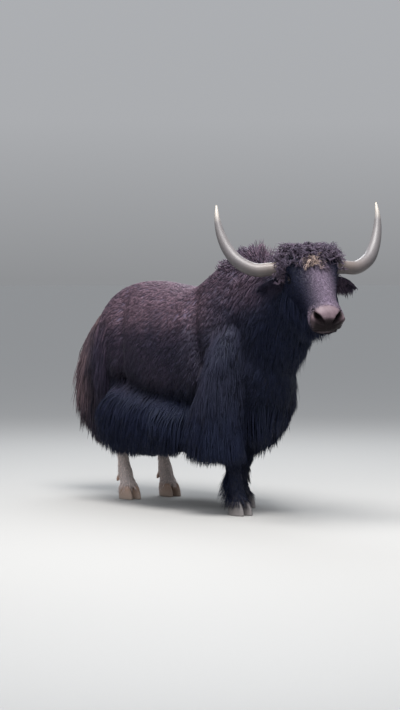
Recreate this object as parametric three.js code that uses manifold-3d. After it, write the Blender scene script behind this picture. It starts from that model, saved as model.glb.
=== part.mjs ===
// A long-haired yak bull, standing, life size, in millimetres.
// +X is forward, +Y is the animal's left, +Z is up, and the soles stand on z = 0.
// The body is lofted from cross-sections, the long coat is made of flat tapered locks,
// and each named part is cut clear of the next by a thin gap.
import * as THREE from "three";
import { mergeVertices } from "three/addons/utils/BufferGeometryUtils.js";
import Module from "manifold-3d";

const wasm = await Module();
wasm.setup();

// Driving dimensions
const GAP = 0.3;
const SIDES = [["left", 1], ["right", -1]];
const HORN_LINE_HEIGHT = 1260; // height of the line between the horn bases
const HORN_LINE_FORWARD = 950;
const HORN_LINE_SIDE = -60; // the head is carried a little to the right
const HEAD_TURN_DEG = -24; // and turned to the right
const FACE_SLOPE_DEG = 30; // the face slopes this far below the horizontal
const HEAD_TILT_DEG = 1.5; // the left horn is carried a little higher than the right
const EYE_RADIUS = 21;
const LID_THICKNESS = 3.5;
const HOOF_TOP = 72;
const CLAW_OFFSET = 27; // from the middle of the foot to the middle of a claw
const FORE_FEET = { left: [200, 90], right: [500, -150] };
const HIND_FEET = { left: [-560, 132], right: [-550, -140] };

// Cross-sections of the torso: x, y, height of the widest line, half width, rise to the back, drop to the
// belly. The drop takes in the upper half of the belly coat.
const TORSO_ROWS = [
  [-905, 0, 900, 70, 90, 130],
  [-875, 0, 880, 150, 195, 280],
  [-790, 0, 865, 228, 292, 380],
  [-650, 0, 850, 282, 358, 425],
  [-480, 0, 830, 310, 388, 415],
  [-300, 0, 800, 340, 400, 415],
  [-100, 0, 780, 368, 402, 415],
  [100, 0, 785, 362, 425, 415],
  [280, 0, 800, 322, 500, 400],
  [410, -10, 815, 256, 562, 405],
  [510, -20, 830, 200, 556, 392],
  [590, -27, 845, 142, 524, 334],
  [650, -31, 855, 88, 400, 240],
  [685, -34, 860, 40, 170, 110],
];
// Neck: x, y, z of the centre, half width, rise to the crest, drop to the throat
const NECK_ROWS = [
  [430, 0, 940, 205, 350, 310],
  [545, -6, 985, 190, 368, 300],
  [650, -14, 1035, 172, 318, 285],
  [740, -24, 1085, 152, 240, 245],
  [820, -34, 1135, 132, 166, 200],
  [890, -44, 1185, 104, 96, 140],
];
// Head, in its own frame: x runs down the face from the horn line, z stands out of the forehead
const HEAD_ROWS = [
  [-98, 0, -22, 55, 40, 60],
  [-72, 0, -15, 100, 76, 122],
  [-25, 0, -8, 119, 82, 165],
  [30, 0, -5, 125, 80, 196],
  [88, 0, -5, 126, 74, 208],
  [145, 0, -9, 111, 65, 200],
  [205, 0, -16, 92, 60, 170],
  [270, 0, -25, 79, 58, 136],
  [330, 0, -33, 74, 61, 110],
  [385, 0, -38, 80, 65, 92],
  [428, 0, -43, 81, 60, 82],
  [452, 0, -47, 66, 46, 66],
  [465, 0, -50, 38, 25, 38],
];
// Dock and brush of the tail: x, y, z, half width, radius to the front, radius to the back
const TAIL_ROWS = [
  [-832, 0, 1096, 46, 60, 30],
  [-900, -4, 1076, 78, 104, 60],
  [-955, -18, 1000, 100, 116, 74],
  [-990, -36, 870, 118, 118, 90],
  [-1008, -52, 720, 120, 108, 98],
  [-1002, -60, 590, 108, 84, 90],
  [-972, -66, 470, 80, 58, 64],
  [-940, -68, 395, 36, 28, 28],
];
// Horn: how far out, forward and up from the middle of the horn line, and its radius
const HORN_ROWS = [
  [92, 4, -1, 32],
  [182, 0, -2, 33],
  [252, -16, -6, 32],
  [320, -52, 30, 30],
  [365, -94, 94, 26],
  [393, -128, 172, 21],
  [403, -152, 249, 14],
  [400, -174, 320, 4],
];
const RIGHT_HORN_REACH = 1.05; // the right horn spreads a little wider than the left

const matte = (color, roughness) =>
  new THREE.MeshStandardMaterial({ color, roughness, metalness: 0 });
const COAT = matte(0x1b1719, 0.75);
const BROWN_COAT = matte(0x2d201d, 0.8);
const FACE_COAT = matte(0x211c1f, 0.7);
const SHANK_COAT = matte(0x8c7a6c, 0.8);
const HORN = matte(0x8a857c, 0.45);
const EYE = matte(0x140d0a, 0.1);
const HOOF = matte(0x7a6152, 0.6);

// A seeded random number, so that each build gives the same coat
function seeded(seed) {
  let state = seed;
  return (low = 0, high = 1) => {
    state = (state * 1664525 + 1013904223) % 4294967296;
    return low + ((high - low) * state) / 4294967296;
  };
}

// The rows' values at t, from 0 at the first row to 1 at the last, along a smooth curve through them
function blend(rows, t) {
  const last = rows.length - 1;
  const place = THREE.MathUtils.clamp(t, 0, 1) * last;
  const i = Math.min(Math.floor(place), last - 1);
  const f = place - i;
  const [a, b, c, d] = [i - 1, i, i + 1, i + 2].map((k) => rows[THREE.MathUtils.clamp(k, 0, last)]);
  return b.map((v, k) => {
    const slope = c[k] - a[k];
    const bend = 2 * a[k] - 5 * v + 4 * c[k] - d[k];
    const twist = 3 * v - a[k] - 3 * c[k] + d[k];
    return v + 0.5 * f * (slope + f * (bend + f * twist));
  });
}

// A closed surface through rings of points, all with the same count, with an optional point as its tip
function ringGeometry(rings, tip = null) {
  const sides = rings[0].length;
  const points = rings.flat();
  const middle = (ring) => ring.reduce((sum, p) => sum.add(p), new THREE.Vector3()).divideScalar(sides);
  const first = points.push(middle(rings[0])) - 1;
  const last = points.push(tip ?? middle(rings.at(-1))) - 1;
  const faces = [];
  const end = (rings.length - 1) * sides;
  for (let j = 0; j < sides; j++) {
    const next = (j + 1) % sides;
    for (let r = 0; r < end; r += sides) {
      faces.push(r + j, r + next, r + sides + j, r + next, r + sides + next, r + sides + j);
    }
    faces.push(first, next, j, last, end + j, end + next);
  }
  return new THREE.BufferGeometry().setFromPoints(points).setIndex(faces);
}

// A closed geometry as a solid that can be joined and cut
function solidOf(geometry) {
  const bare = geometry.clone();
  bare.deleteAttribute("normal");
  bare.deleteAttribute("uv");
  const merged = mergeVertices(bare, 1e-3);
  const mesh = new wasm.Mesh({
    numProp: 3,
    vertProperties: merged.getAttribute("position").array,
    triVerts: new Uint32Array(merged.index.array),
  });
  return new wasm.Manifold(mesh);
}

// The largest closed surface of a solid; anything loose that is more than a crumb is reported
function whole(solid, name) {
  const pieces = solid.decompose().sort((a, b) => b.volume() - a.volume());
  const loose = pieces.slice(1).map((p) => Math.round(p.volume() / 1000));
  const large = loose.filter((cm3) => Math.abs(cm3) > 1);
  if (large.length) console.log(name, "drops", large.join(" "), "cm3");
  return pieces[0];
}

function geometryOf(solid) {
  const { vertProperties, triVerts, numProp } = solid.getMesh();
  const points = [];
  for (let i = 0; i < vertProperties.length; i += numProp) {
    points.push(new THREE.Vector3(...vertProperties.subarray(i, i + 3)));
  }
  return new THREE.BufferGeometry().setFromPoints(points).setIndex(Array.from(triVerts));
}

// A round body lofted through rows of x, y, z, half width, and the radii along and against a reference
class Loft {
  constructor(rows, { reference, above = 2, below = 2, moves = [] }) {
    Object.assign(this, { rows, reference, above, below, moves });
    this.path = (t) => new THREE.Vector3(...blend(rows, t).slice(0, 3));
  }

  section(t) {
    const step = 1e-3;
    const along = this.path(Math.min(t + step, 1)).sub(this.path(Math.max(t - step, 0))).normalize();
    const rise = this.reference.clone().addScaledVector(along, -along.dot(this.reference)).normalize();
    const across = new THREE.Vector3().crossVectors(rise, along);
    return { centre: this.path(t), along, rise, across, radii: blend(this.rows, t).slice(3) };
  }

  // Angle 0 points left, a quarter turn points along the reference direction
  point(t, angle, grow = 0) {
    const { centre, rise, across, radii } = this.section(t);
    const [c, s] = [Math.cos(angle), Math.sin(angle)];
    const power = 2 / (s > 0 ? this.above : this.below);
    const wide = Math.sign(c) * Math.abs(c) ** power * (Math.max(radii[0], 1) + grow);
    const tall = Math.sign(s) * Math.abs(s) ** power * (Math.max(s > 0 ? radii[1] : radii[2], 1) + grow);
    const p = centre.addScaledVector(across, wide).addScaledVector(rise, tall);
    for (const { at, reach, by } of this.moves) {
      p.addScaledVector(by, Math.exp(-p.distanceToSquared(at) / (reach * reach)));
    }
    return p;
  }

  normal(t, angle) {
    const step = 0.01;
    const around = this.point(t, angle + step).sub(this.point(t, angle - step));
    const along = this.point(Math.min(t + step, 1), angle).sub(this.point(Math.max(t - step, 0), angle));
    return around.cross(along).normalize();
  }

  // The place along the loft where the path passes x
  atX(x) {
    let [low, high] = [0, 1];
    const rising = this.path(1).x > this.path(0).x;
    for (let i = 0; i < 30; i++) {
      const middle = (low + high) / 2;
      if (this.path(middle).x < x === rising) low = middle;
      else high = middle;
    }
    return (low + high) / 2;
  }

  solid(steps, sides, grow = 0) {
    const rings = [];
    for (let i = 0; i <= steps; i++) {
      const t = i / steps;
      const push = i === 0 ? -grow : i === steps ? grow : 0;
      const { along } = this.section(t);
      rings.push(
        Array.from({ length: sides }, (_, j) =>
          this.point(t, (2 * Math.PI * j) / sides, grow).addScaledVector(along, push),
        ),
      );
    }
    return solidOf(ringGeometry(rings));
  }
}

// How a lock's width and thickness run from its root to just before its tip
const LOCK_SHAPE = [
  [0, 0.16, 0.35],
  [0.3, 0.7, 0.8],
  [0.6, 1, 1],
  [0.83, 0.6, 0.65],
];
// A lock's section: flat against the body, with a low ridge outside
const LOCK_SECTION = [
  [1, -0.35],
  [0, 1],
  [-1, -0.35],
];

// How far, in gaps, the faces, the sharp sides and the tip of a grown lock move out
const FACE_GROW = 1.2;
const SIDE_GROW = 8;
const TIP_GROW = 6;

// A flat lock of coat along a curve: its root end is sunk in the body and its far end is a point
function lock(curve, across, width, thick, grow = 0) {
  const rings = LOCK_SHAPE.map(([t, wide, deep]) => {
    const centre = curve.getPoint(t);
    const along = curve.getTangent(t);
    const side = across.clone().addScaledVector(along, -along.dot(across)).normalize();
    const out = new THREE.Vector3().crossVectors(along, side);
    const half = (width / 2) * wide + SIDE_GROW * grow;
    return LOCK_SECTION.map(([a, b]) => {
      const height = (thick / 2) * deep * b + Math.sign(b) * FACE_GROW * grow;
      return centre.clone().addScaledVector(side, half * a).addScaledVector(out, height);
    });
  });
  const tip = curve.getPoint(1).addScaledVector(curve.getTangent(1), TIP_GROW * grow);
  return solidOf(ringGeometry(rings, tip));
}

const DOWN = new THREE.Vector3(0, 0, -1);
// Where a hanging lock leaves the body and where it bellies out most, as shares of its lift and its length
const LOCK_START = [0.3, 0.2];
const LOCK_BELLY = [1.25, 0.58];

// A lock that grows out of a loft's surface, hangs or is combed along a direction, and sways to one side
function hangingLock(loft, t, angle, shape, grow) {
  const { length, width, thick, lift, flare, sway = 0, fall = DOWN, sink = 26 } = shape;
  const root = loft.point(t, angle);
  const out = loft.normal(t, angle);
  const away = out.clone().addScaledVector(fall, -out.dot(fall)).normalize();
  const across = new THREE.Vector3().crossVectors(fall, away);
  const at = (direction, off, down) =>
    root.clone().addScaledVector(direction, off).addScaledVector(fall, down);
  const curve = new THREE.CubicBezierCurve3(
    at(out, -sink, 0),
    at(out, LOCK_START[0] * lift, LOCK_START[1] * length),
    at(away, LOCK_BELLY[0] * lift, LOCK_BELLY[1] * length),
    at(away, flare, length).addScaledVector(across, sway),
  );
  return lock(curve, across, width, thick, grow);
}

const UP = new THREE.Vector3(0, 0, 1);
const FORWARD = new THREE.Vector3(1, 0, 0);
const torso = new Loft(TORSO_ROWS, { reference: UP, above: 2.1, below: 2.7 });
const neck = new Loft(NECK_ROWS, { reference: UP, above: 2, below: 2.2 });
const tail = new Loft(TAIL_ROWS, { reference: FORWARD });

// Tiers of the long coat on one side of the torso: the stretch of the body they grow along, the heights of
// their roots and of their tips at its two ends, how many locks they hold, and how far these stand out at
// the middle and at the tip
const SIDE_TIERS = [
  { from: -530, to: 215, roots: [690, 610], tips: [335, 345], count: 7, lift: 60, flare: [36, 6] },
  { from: -560, to: 200, roots: [510, 475], tips: [222, 235], count: 6, lift: 42, flare: [6, -55] },
  { from: -860, to: -560, roots: [820, 810], tips: [450, 430], count: 3, lift: 40, flare: [30, 30] },
  { from: -850, to: -560, roots: [630, 600], tips: [250, 225], count: 4, lift: 38, flare: [-8, -8] },
];
// The same over each shoulder, which goes with its fore foot
const SHOULDER_TIERS = {
  left: [
    { from: 180, to: 430, roots: [870, 870], tips: [470, 540], count: 3, lift: 26, flare: [0, -10] },
    { from: 150, to: 410, roots: [670, 690], tips: [255, 480], count: 4, lift: 28, flare: [-70, -90] },
  ],
  right: [
    { from: 240, to: 500, roots: [870, 870], tips: [470, 500], count: 3, lift: 32, flare: [20, 20] },
    { from: 210, to: 530, roots: [670, 690], tips: [235, 320], count: 4, lift: 44, flare: [-10, -25] },
  ],
};
// Tiers round the front of the chest: the place along the torso, the height of the tips, how far round to
// each side and how many locks
const CHEST_TIERS = [
  { x: 640, tips: 500, spread: 56, count: 3 },
  { x: 545, tips: 330, spread: 50, count: 4 },
];
const LOCK_THICKNESS = 40;
const LOCK_OVERLAP = [1.35, 1.6]; // a lock's width over the distance to the next

// The angle, on one side below the widest line, at which a loft's surface is at a height
function angleAtHeight(loft, t, height, side) {
  let [low, high] = [0, Math.PI / 2];
  for (let i = 0; i < 20; i++) {
    const middle = (low + high) / 2;
    if (loft.point(t, -middle).z > height) low = middle;
    else high = middle;
  }
  return side > 0 ? -low : Math.PI + low;
}

function torsoLocks(grow) {
  const random = seeded(7);
  const locks = [];
  for (const [name, side] of SIDES) {
    for (const tier of [...SIDE_TIERS, ...SHOULDER_TIERS[name]]) {
      const { from, to, roots, tips, count, lift, flare } = tier;
      for (let i = 0; i < count; i++) {
        const place = (i + random(0.35, 0.65)) / count;
        const t = torso.atX(THREE.MathUtils.lerp(from, to, place));
        const height = THREE.MathUtils.lerp(...roots, place) + random(-16, 16);
        const shape = {
          length: height - THREE.MathUtils.lerp(...tips, place) - random(-22, 22),
          width: ((to - from) / count) * random(...LOCK_OVERLAP),
          thick: LOCK_THICKNESS * random(0.85, 1.15),
          lift: lift * (i % 2 ? 1.15 : 0.85),
          flare: THREE.MathUtils.lerp(...flare, place) + random(-10, 10),
          sway: random(-45, 45),
        };
        locks.push(hangingLock(torso, t, angleAtHeight(torso, t, height, side), shape, grow));
      }
    }
  }
  for (const { x, tips, spread, count } of CHEST_TIERS) {
    const t = torso.atX(x);
    for (let i = 0; i < count; i++) {
      const turn = THREE.MathUtils.degToRad(spread * (((i + 0.5) / count) * 2 - 1));
      const angle = -Math.PI / 2 + turn;
      const shape = {
        length: torso.point(t, angle).z - tips - random(-20, 20),
        width: random(105, 125),
        thick: LOCK_THICKNESS,
        lift: 14,
        flare: random(-20, 0),
        sway: random(-20, 20),
      };
      locks.push(hangingLock(torso, t, angle, shape, grow));
    }
  }
  return locks;
}

// Tiers of the neck's hair on one side: the place along it, the angles above the widest line between which
// they grow, their number and length
const MANE_TIERS = [
  { t: 0.22, top: 34, bottom: -62, count: 4, length: 260 },
  { t: 0.5, top: 34, bottom: -38, count: 3, length: 200 },
];
const COMBED = new THREE.Vector3(-0.42, 0, -1).normalize(); // the neck's hair hangs down and a little back
// Locks in a row along the throat and along the crest: the first one's place, the step to the next, their
// number, and how far each stands from the middle line, to alternate sides
const THROAT_ROW = { first: 0.26, step: 0.14, count: 4, aside: 0.28 };
const CREST_ROW = { first: 0.22, step: 0.16, count: 4, aside: 0.35 };

function neckLocks(grow) {
  const random = seeded(19);
  const locks = [];
  for (const [, side] of SIDES) {
    for (const { t, top, bottom, count, length } of MANE_TIERS) {
      for (let i = 0; i < count; i++) {
        const rise = THREE.MathUtils.degToRad(THREE.MathUtils.lerp(top, bottom, (i + 0.5) / count));
        const angle = side > 0 ? rise : Math.PI - rise;
        const shape = {
          length: length * random(0.85, 1.15),
          width: 142,
          thick: 32,
          lift: i % 2 ? 22 : 12,
          flare: 8,
          sway: random(-30, 30),
          fall: COMBED,
        };
        locks.push(hangingLock(neck, t + random(-0.04, 0.04), angle, shape, grow));
      }
    }
  }
  for (let i = 0; i < THROAT_ROW.count; i++) {
    const shape = { length: random(130, 160), width: 104, thick: 34, lift: 6, flare: 0, fall: COMBED };
    const angle = -Math.PI / 2 + (i % 2 ? THROAT_ROW.aside : -THROAT_ROW.aside);
    locks.push(hangingLock(neck, THROAT_ROW.first + THROAT_ROW.step * i, angle, shape, grow));
  }
  for (let i = 0; i < CREST_ROW.count; i++) {
    const fall = new THREE.Vector3(-1, random(-0.35, 0.35), random(-0.05, 0.2)).normalize();
    const shape = { length: random(120, 160), width: 96, thick: 32, lift: 16, flare: 26, fall };
    const angle = Math.PI / 2 + (i % 2 ? CREST_ROW.aside : -CREST_ROW.aside);
    locks.push(hangingLock(neck, CREST_ROW.first + CREST_ROW.step * i, angle, shape, grow));
  }
  return locks;
}

// Tiers round the tail: the place along it, the number of locks, the height of their tips and how far they
// sweep forward as they fall
const TAIL_TIERS = [
  { t: 0.26, count: 4, tips: 700, sweep: 0 },
  { t: 0.5, count: 5, tips: 430, sweep: 0.14 },
  { t: 0.76, count: 5, tips: 225, sweep: 0.42 },
];

function tailLocks(grow) {
  const random = seeded(31);
  return TAIL_TIERS.flatMap(({ t, count, tips, sweep }, tier) =>
    Array.from({ length: count }, (_, i) => {
      const angle = ((i + 0.5 * tier) / count) * 2 * Math.PI + random(-0.15, 0.15);
      const length = tail.path(t).z - tips + random(-25, 25);
      const fall = new THREE.Vector3(sweep, 0, -1).normalize();
      const sway = random(-24, 24);
      const shape = { length, width: 122, thick: 38, lift: 30, flare: 8, sway, sink: 22, fall };
      return hangingLock(tail, t, angle, shape, grow);
    }),
  );
}

// One leg as a loft from inside the body down to the top of the hoof
function legLoft(rows) {
  return new Loft(rows, { reference: FORWARD, above: 2, below: 2 });
}

// Fore leg: height, share of the way from foot to elbow sideways and lengthways, and radii
function foreleg(name, side) {
  const [footX, footY] = FORE_FEET[name];
  const elbow = [375, 195 * side];
  const row = (z, share, ...radii) => [
    THREE.MathUtils.lerp(footX - 40, elbow[0], share),
    THREE.MathUtils.lerp(footY, elbow[1], share),
    z,
    ...radii,
  ];
  return legLoft([
    row(680, 1, 66, 84, 90),
    row(560, 0.86, 64, 76, 80),
    row(440, 0.58, 52, 54, 60),
    row(366, 0.42, 56, 56, 56),
    row(300, 0.26, 50, 48, 52),
    row(215, 0.08, 48, 45, 50),
    row(142, 0, 54, 48, 58),
    [footX - 26, footY, 106, 50, 46, 52],
    [footX - 10, footY, HOOF_TOP - 8, 54, 60, 53],
    [footX - 4, footY, HOOF_TOP - 40, 54, 60, 53],
  ]);
}

function hindleg(name, side) {
  const [footX, footY] = HIND_FEET[name];
  const hip = [-520, 190 * side];
  return legLoft([
    [hip[0], hip[1], 700, 88, 120, 110],
    [footX - 20, THREE.MathUtils.lerp(footY, hip[1], 0.7), 560, 70, 84, 78],
    [footX - 86, THREE.MathUtils.lerp(footY, hip[1], 0.3), 430, 44, 52, 56],
    [footX - 92, footY, 365, 44, 46, 50],
    [footX - 78, footY, 290, 38, 38, 40],
    [footX - 58, footY, 205, 36, 35, 37],
    [footX - 40, footY, 142, 45, 41, 50],
    [footX - 26, footY, 106, 42, 40, 43],
    [footX - 10, footY, HOOF_TOP - 8, 53, 58, 50],
    [footX - 4, footY, HOOF_TOP - 40, 53, 58, 50],
  ]);
}

const LEG_STEPS = 13;
const LEG_SIDES = 10;
const FORE_FEATHER = 50; // width of the hair behind a fore fetlock
const HIND_FEATHER = 32;

// The two dewclaws behind a fetlock, with the longer hair that hides them on a fore foot
function dewclaws([footX, footY], spread, grow) {
  return SIDES.map(([, side]) => {
    const curve = new THREE.LineCurve3(
      new THREE.Vector3(footX - 48, footY + 16 * side, 154),
      new THREE.Vector3(footX - 82 - 0.9 * spread, footY + 26 * side, 92),
    );
    return lock(curve, new THREE.Vector3(0, 1, 0), spread, 0.8 * spread, grow);
  });
}

// The leg stops flat, a gap above the claws
function legSolid({ loft, foot, feather }, grow) {
  const leg = wasm.Manifold.union([
    loft.solid(LEG_STEPS, LEG_SIDES, grow),
    ...dewclaws(foot, feather, grow),
  ]);
  return leg.trimByPlane([0, 0, 1], HOOF_TOP + GAP);
}

// One claw of a cloven hoof, from the flat sole up to the coronet
function claw([footX, footY], side) {
  const slices = [
    [0, 6, 61, 24.5],
    [30, 2, 59, 25.5],
    [HOOF_TOP, -10, 46, 21],
  ];
  const sides = 10;
  const rings = slices.map(([z, shift, long, wide]) =>
    Array.from({ length: sides }, (_, j) => {
      const angle = (2 * Math.PI * j) / sides;
      const toe = Math.cos(angle) > 0 ? 1 - 0.25 * Math.cos(angle) : 1;
      return new THREE.Vector3(
        footX + shift + long * Math.cos(angle),
        footY + CLAW_OFFSET * side + wide * toe * Math.sin(angle),
        z,
      );
    }),
  );
  return solidOf(ringGeometry(rings));
}

// The head's own frame, and a level frame that shares its origin and turn but not its slope
const TURN = THREE.MathUtils.degToRad(HEAD_TURN_DEG);
const SLOPE = THREE.MathUtils.degToRad(FACE_SLOPE_DEG);
const headFrame = new THREE.Matrix4()
  .makeTranslation(HORN_LINE_FORWARD, HORN_LINE_SIDE, HORN_LINE_HEIGHT)
  .multiply(new THREE.Matrix4().makeRotationZ(TURN))
  .multiply(new THREE.Matrix4().makeRotationX(THREE.MathUtils.degToRad(HEAD_TILT_DEG)))
  .multiply(new THREE.Matrix4().makeRotationY(SLOPE));
const level = (out, forward, rise) =>
  new THREE.Vector3(
    forward * Math.cos(SLOPE) - rise * Math.sin(SLOPE),
    out,
    forward * Math.sin(SLOPE) + rise * Math.cos(SLOPE),
  );

// Brow, eye socket, cheek, cheekbone, nostril wing, chin and the slight dish of the nose
const vec = (x, y, z) => new THREE.Vector3(x, y, z);
const headMoves = [
  { at: vec(250, 0, 36), reach: 70, by: vec(0, 0, -5) },
  { at: vec(415, 0, -128), reach: 34, by: vec(4, 0, -8) },
  ...SIDES.flatMap(([, s]) => [
    { at: vec(82, 112 * s, 36), reach: 38, by: vec(0, 8 * s, 11) },
    { at: vec(102, 124 * s, -6), reach: 32, by: vec(0, -11 * s, 0) },
    { at: vec(70, 108 * s, -110), reach: 62, by: vec(0, 10 * s, 0) },
    { at: vec(190, 92 * s, -48), reach: 40, by: vec(0, 7 * s, 0) },
    { at: vec(446, 60 * s, -30), reach: 26, by: vec(6, 9 * s, 5) },
  ]),
];
const headLoft = new Loft(HEAD_ROWS, { reference: UP, above: 2.5, below: 2.3, moves: headMoves });
const eyeCentre = (side) => vec(98, 103 * side, -2);
const NOSTRIL = vec(458, 47, -26);
const NOSTRIL_SIZE = [13, 16, 9];

// A low-sided ball, stretched and placed
function ball(at, [rx, ry, rz], across = 10, up = 6) {
  const geometry = new THREE.SphereGeometry(1, across, up).scale(rx, ry, rz);
  return solidOf(geometry.translate(at.x, at.y, at.z));
}

// The almond opening between the lids, pushed in from the side of the head
function lidOpening(side) {
  const [half, top, bottom] = [19, 17, 14];
  const almond = new THREE.Shape();
  almond.moveTo(-half, 0).quadraticCurveTo(0, -bottom, half, 0).quadraticCurveTo(0, top, -half, 0);
  const cut = new THREE.ExtrudeGeometry(almond, { depth: 60, bevelEnabled: false, curveSegments: 5 });
  cut.rotateX(side > 0 ? -Math.PI / 2 : Math.PI / 2);
  const { x, y, z } = eyeCentre(side);
  return solidOf(cut.translate(x, y + 8 * side, z));
}

// The line of the mouth, a groove that runs round the muzzle from one corner to the other
function mouthGroove() {
  const [corner, front, radius] = [338, 463, 5];
  const points = [];
  for (const side of [-1, 1]) {
    const half = [];
    for (let i = 0; i < 5; i++) {
      const x = THREE.MathUtils.lerp(corner, front - 3, Math.sqrt(i / 4));
      const angle = THREE.MathUtils.degToRad(side > 0 ? -40 : 220);
      half.push(headLoft.point(headLoft.atX(x), angle));
    }
    points.push(...(side < 0 ? half : [vec(front + 3, 0, -78), ...half.reverse()]));
  }
  const path = new THREE.CatmullRomCurve3(points);
  const steps = 12;
  const rings = Array.from({ length: steps + 1 }, (_, i) => {
    const t = i / steps;
    const centre = path.getPoint(t);
    const along = path.getTangent(t);
    const side = vec(0, 0, 1).addScaledVector(along, -along.z).normalize();
    const out = new THREE.Vector3().crossVectors(along, side);
    return [0, 1, 2, 3].map((k) => {
      const angle = (k * Math.PI) / 2;
      return centre
        .clone()
        .addScaledVector(side, 0.6 * radius * Math.cos(angle))
        .addScaledVector(out, 1.5 * radius * Math.sin(angle));
    });
  });
  return solidOf(ringGeometry(rings));
}

// Curled clumps of the forelock, set close over the poll and forehead and round the roots of the horns: the
// place down the face, how far round from the left side they begin, their number and size
const CLUMP_ROWS = [
  { x: -54, from: 6, count: 5, size: 48 },
  { x: -8, from: -8, count: 7, size: 44 },
  { x: 44, from: 8, count: 6, size: 42 },
  { x: 90, from: 34, count: 5, size: 32 },
];

function forelock(grow) {
  const random = seeded(5);
  return CLUMP_ROWS.flatMap(({ x, from, count, size }) =>
    Array.from({ length: count }, (_, i) => {
      const spread = THREE.MathUtils.degToRad(from + ((180 - 2 * from) * i) / (count - 1));
      const t = headLoft.atX(x + random(-8, 8));
      const at = headLoft.point(t, spread, 0.25 * size);
      const radius = size * random(0.9, 1.1);
      return ball(at, [radius + grow, radius + grow, 0.85 * radius + grow], 6, 4);
    }),
  );
}

// Longer hair under the jaw: the place down the face, and the length
const BEARD_ROWS = [
  { x: 70, length: 175 },
  { x: 160, length: 135 },
  { x: 245, length: 80 },
];

function beardLocks(grow) {
  const random = seeded(11);
  const fall = vec(0.42, 0, -0.91);
  return BEARD_ROWS.flatMap(({ x, length }) =>
    [-0.5, 0.5].map((turn) => {
      const t = headLoft.atX(x + random(-12, 12));
      const sway = random(-16, 16);
      const long = length * random(0.85, 1.05);
      const shape = { length: long, width: 100, thick: 34, lift: 8, flare: 0, sway, fall };
      return hangingLock(headLoft, t, -Math.PI / 2 + turn, shape, grow);
    }),
  );
}

function hornSolid(side, grow = 0) {
  const rows = HORN_ROWS.map(([out, forward, rise, radius]) => {
    const reach = side > 0 ? out : -out * RIGHT_HORN_REACH;
    const p = level(reach, forward, rise);
    return [p.x, p.y, p.z, radius, radius, radius];
  });
  return new Loft(rows, { reference: FORWARD }).solid(17, 10, grow);
}

// A leaf-shaped ear with a cup in its front
function earSolid(side, grow = 0) {
  const [root, tip] = [level(98 * side, -22, -58), level(252 * side, -52, -112)];
  const shape = [
    [0, 24, 20],
    [0.25, 36, 17],
    [0.55, 44, 13],
    [0.8, 32, 9],
    [1, 6, 4],
  ];
  const rows = (wide, deep, shift) =>
    shape.map(([t, w, d]) => {
      const p = root.clone().lerp(tip, t).add(vec(shift + 10 * Math.sin(Math.PI * t), 0, 0));
      return [p.x, p.y, p.z, w * wide, d * deep, d * deep];
    });
  const facing = { reference: FORWARD };
  const leaf = new Loft(rows(1, 1, 0), facing).solid(7, 8, grow);
  if (grow) return leaf;
  const cup = new Loft(rows(0.74, 0.8, 11).slice(1), facing).solid(5, 8);
  const fringe = [0.36, 0.58, 0.8].map((t) => {
    const start = root.clone().lerp(tip, t).add(level(0, 0, -14));
    const end = start.clone().add(level(10 * side, 0, -52));
    return lock(new THREE.LineCurve3(start, end), vec(0, 1, 0), 40, 16);
  });
  return leaf.subtract(cup).add(wasm.Manifold.union(fringe));
}

// The head with its grown form, used again to cut the neck clear of it
function headSolid(grow = 0) {
  const body = headLoft.solid(20, 20, grow);
  return wasm.Manifold.union([body, ...forelock(grow), ...beardLocks(grow)]);
}

function finishedHead() {
  let head = headSolid();
  for (const [, side] of SIDES) {
    const lid = EYE_RADIUS + LID_THICKNESS;
    head = head
      .add(ball(eyeCentre(side), [lid + 2, lid, lid], 12, 8))
      .subtract(lidOpening(side))
      .subtract(ball(eyeCentre(side), Array(3).fill(EYE_RADIUS + GAP), 12, 8))
      .subtract(hornSolid(side, GAP))
      .subtract(earSolid(side, GAP))
      .subtract(ball(vec(NOSTRIL.x, NOSTRIL.y * side, NOSTRIL.z), NOSTRIL_SIZE, 8, 6));
  }
  return head.subtract(mouthGroove());
}

// The parts as solids, each cut clear of those that it meets
const headInWorld = (solid) => solid.transform(headFrame.elements);
const legs = {};
for (const [name, side] of SIDES) {
  legs[`foreleg_${name}`] = {
    loft: foreleg(name, side),
    foot: FORE_FEET[name],
    feather: FORE_FEATHER,
    material: COAT,
  };
  legs[`hindleg_${name}`] = {
    loft: hindleg(name, side),
    foot: HIND_FEET[name],
    feather: HIND_FEATHER,
    material: SHANK_COAT,
  };
}
const neckSolid = (grow) => wasm.Manifold.union([neck.solid(11, 18, grow), ...neckLocks(grow)]);
const tailSolid = (grow) => wasm.Manifold.union([tail.solid(11, 10, grow), ...tailLocks(grow)]);

const headAndEars = headInWorld(
  wasm.Manifold.union([headSolid(GAP), ...SIDES.map(([, side]) => earSolid(side, GAP))]),
);

let body = wasm.Manifold.union([torso.solid(22, 24), ...torsoLocks(0)]);
body = body.subtract(neckSolid(GAP)).subtract(tailSolid(GAP)).subtract(headAndEars);
for (const leg of Object.values(legs)) {
  body = body.subtract(legSolid(leg, GAP));
}

// The scene graph
const yak = new THREE.Group();

function addPart(parent, name, solid, material) {
  const mesh = new THREE.Mesh(geometryOf(whole(solid, name)), material);
  mesh.name = name;
  parent.add(mesh);
}

addPart(yak, "torso", body, COAT);
addPart(yak, "neck", neckSolid(0).subtract(headAndEars), COAT);
addPart(yak, "tail", tailSolid(0), BROWN_COAT);
for (const [name, leg] of Object.entries(legs)) {
  addPart(yak, name, legSolid(leg, 0), leg.material);
  for (const [clawName, side] of SIDES) {
    addPart(yak, `${name}_claw_${clawName}`, claw(leg.foot, side), HOOF);
  }
}

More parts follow.
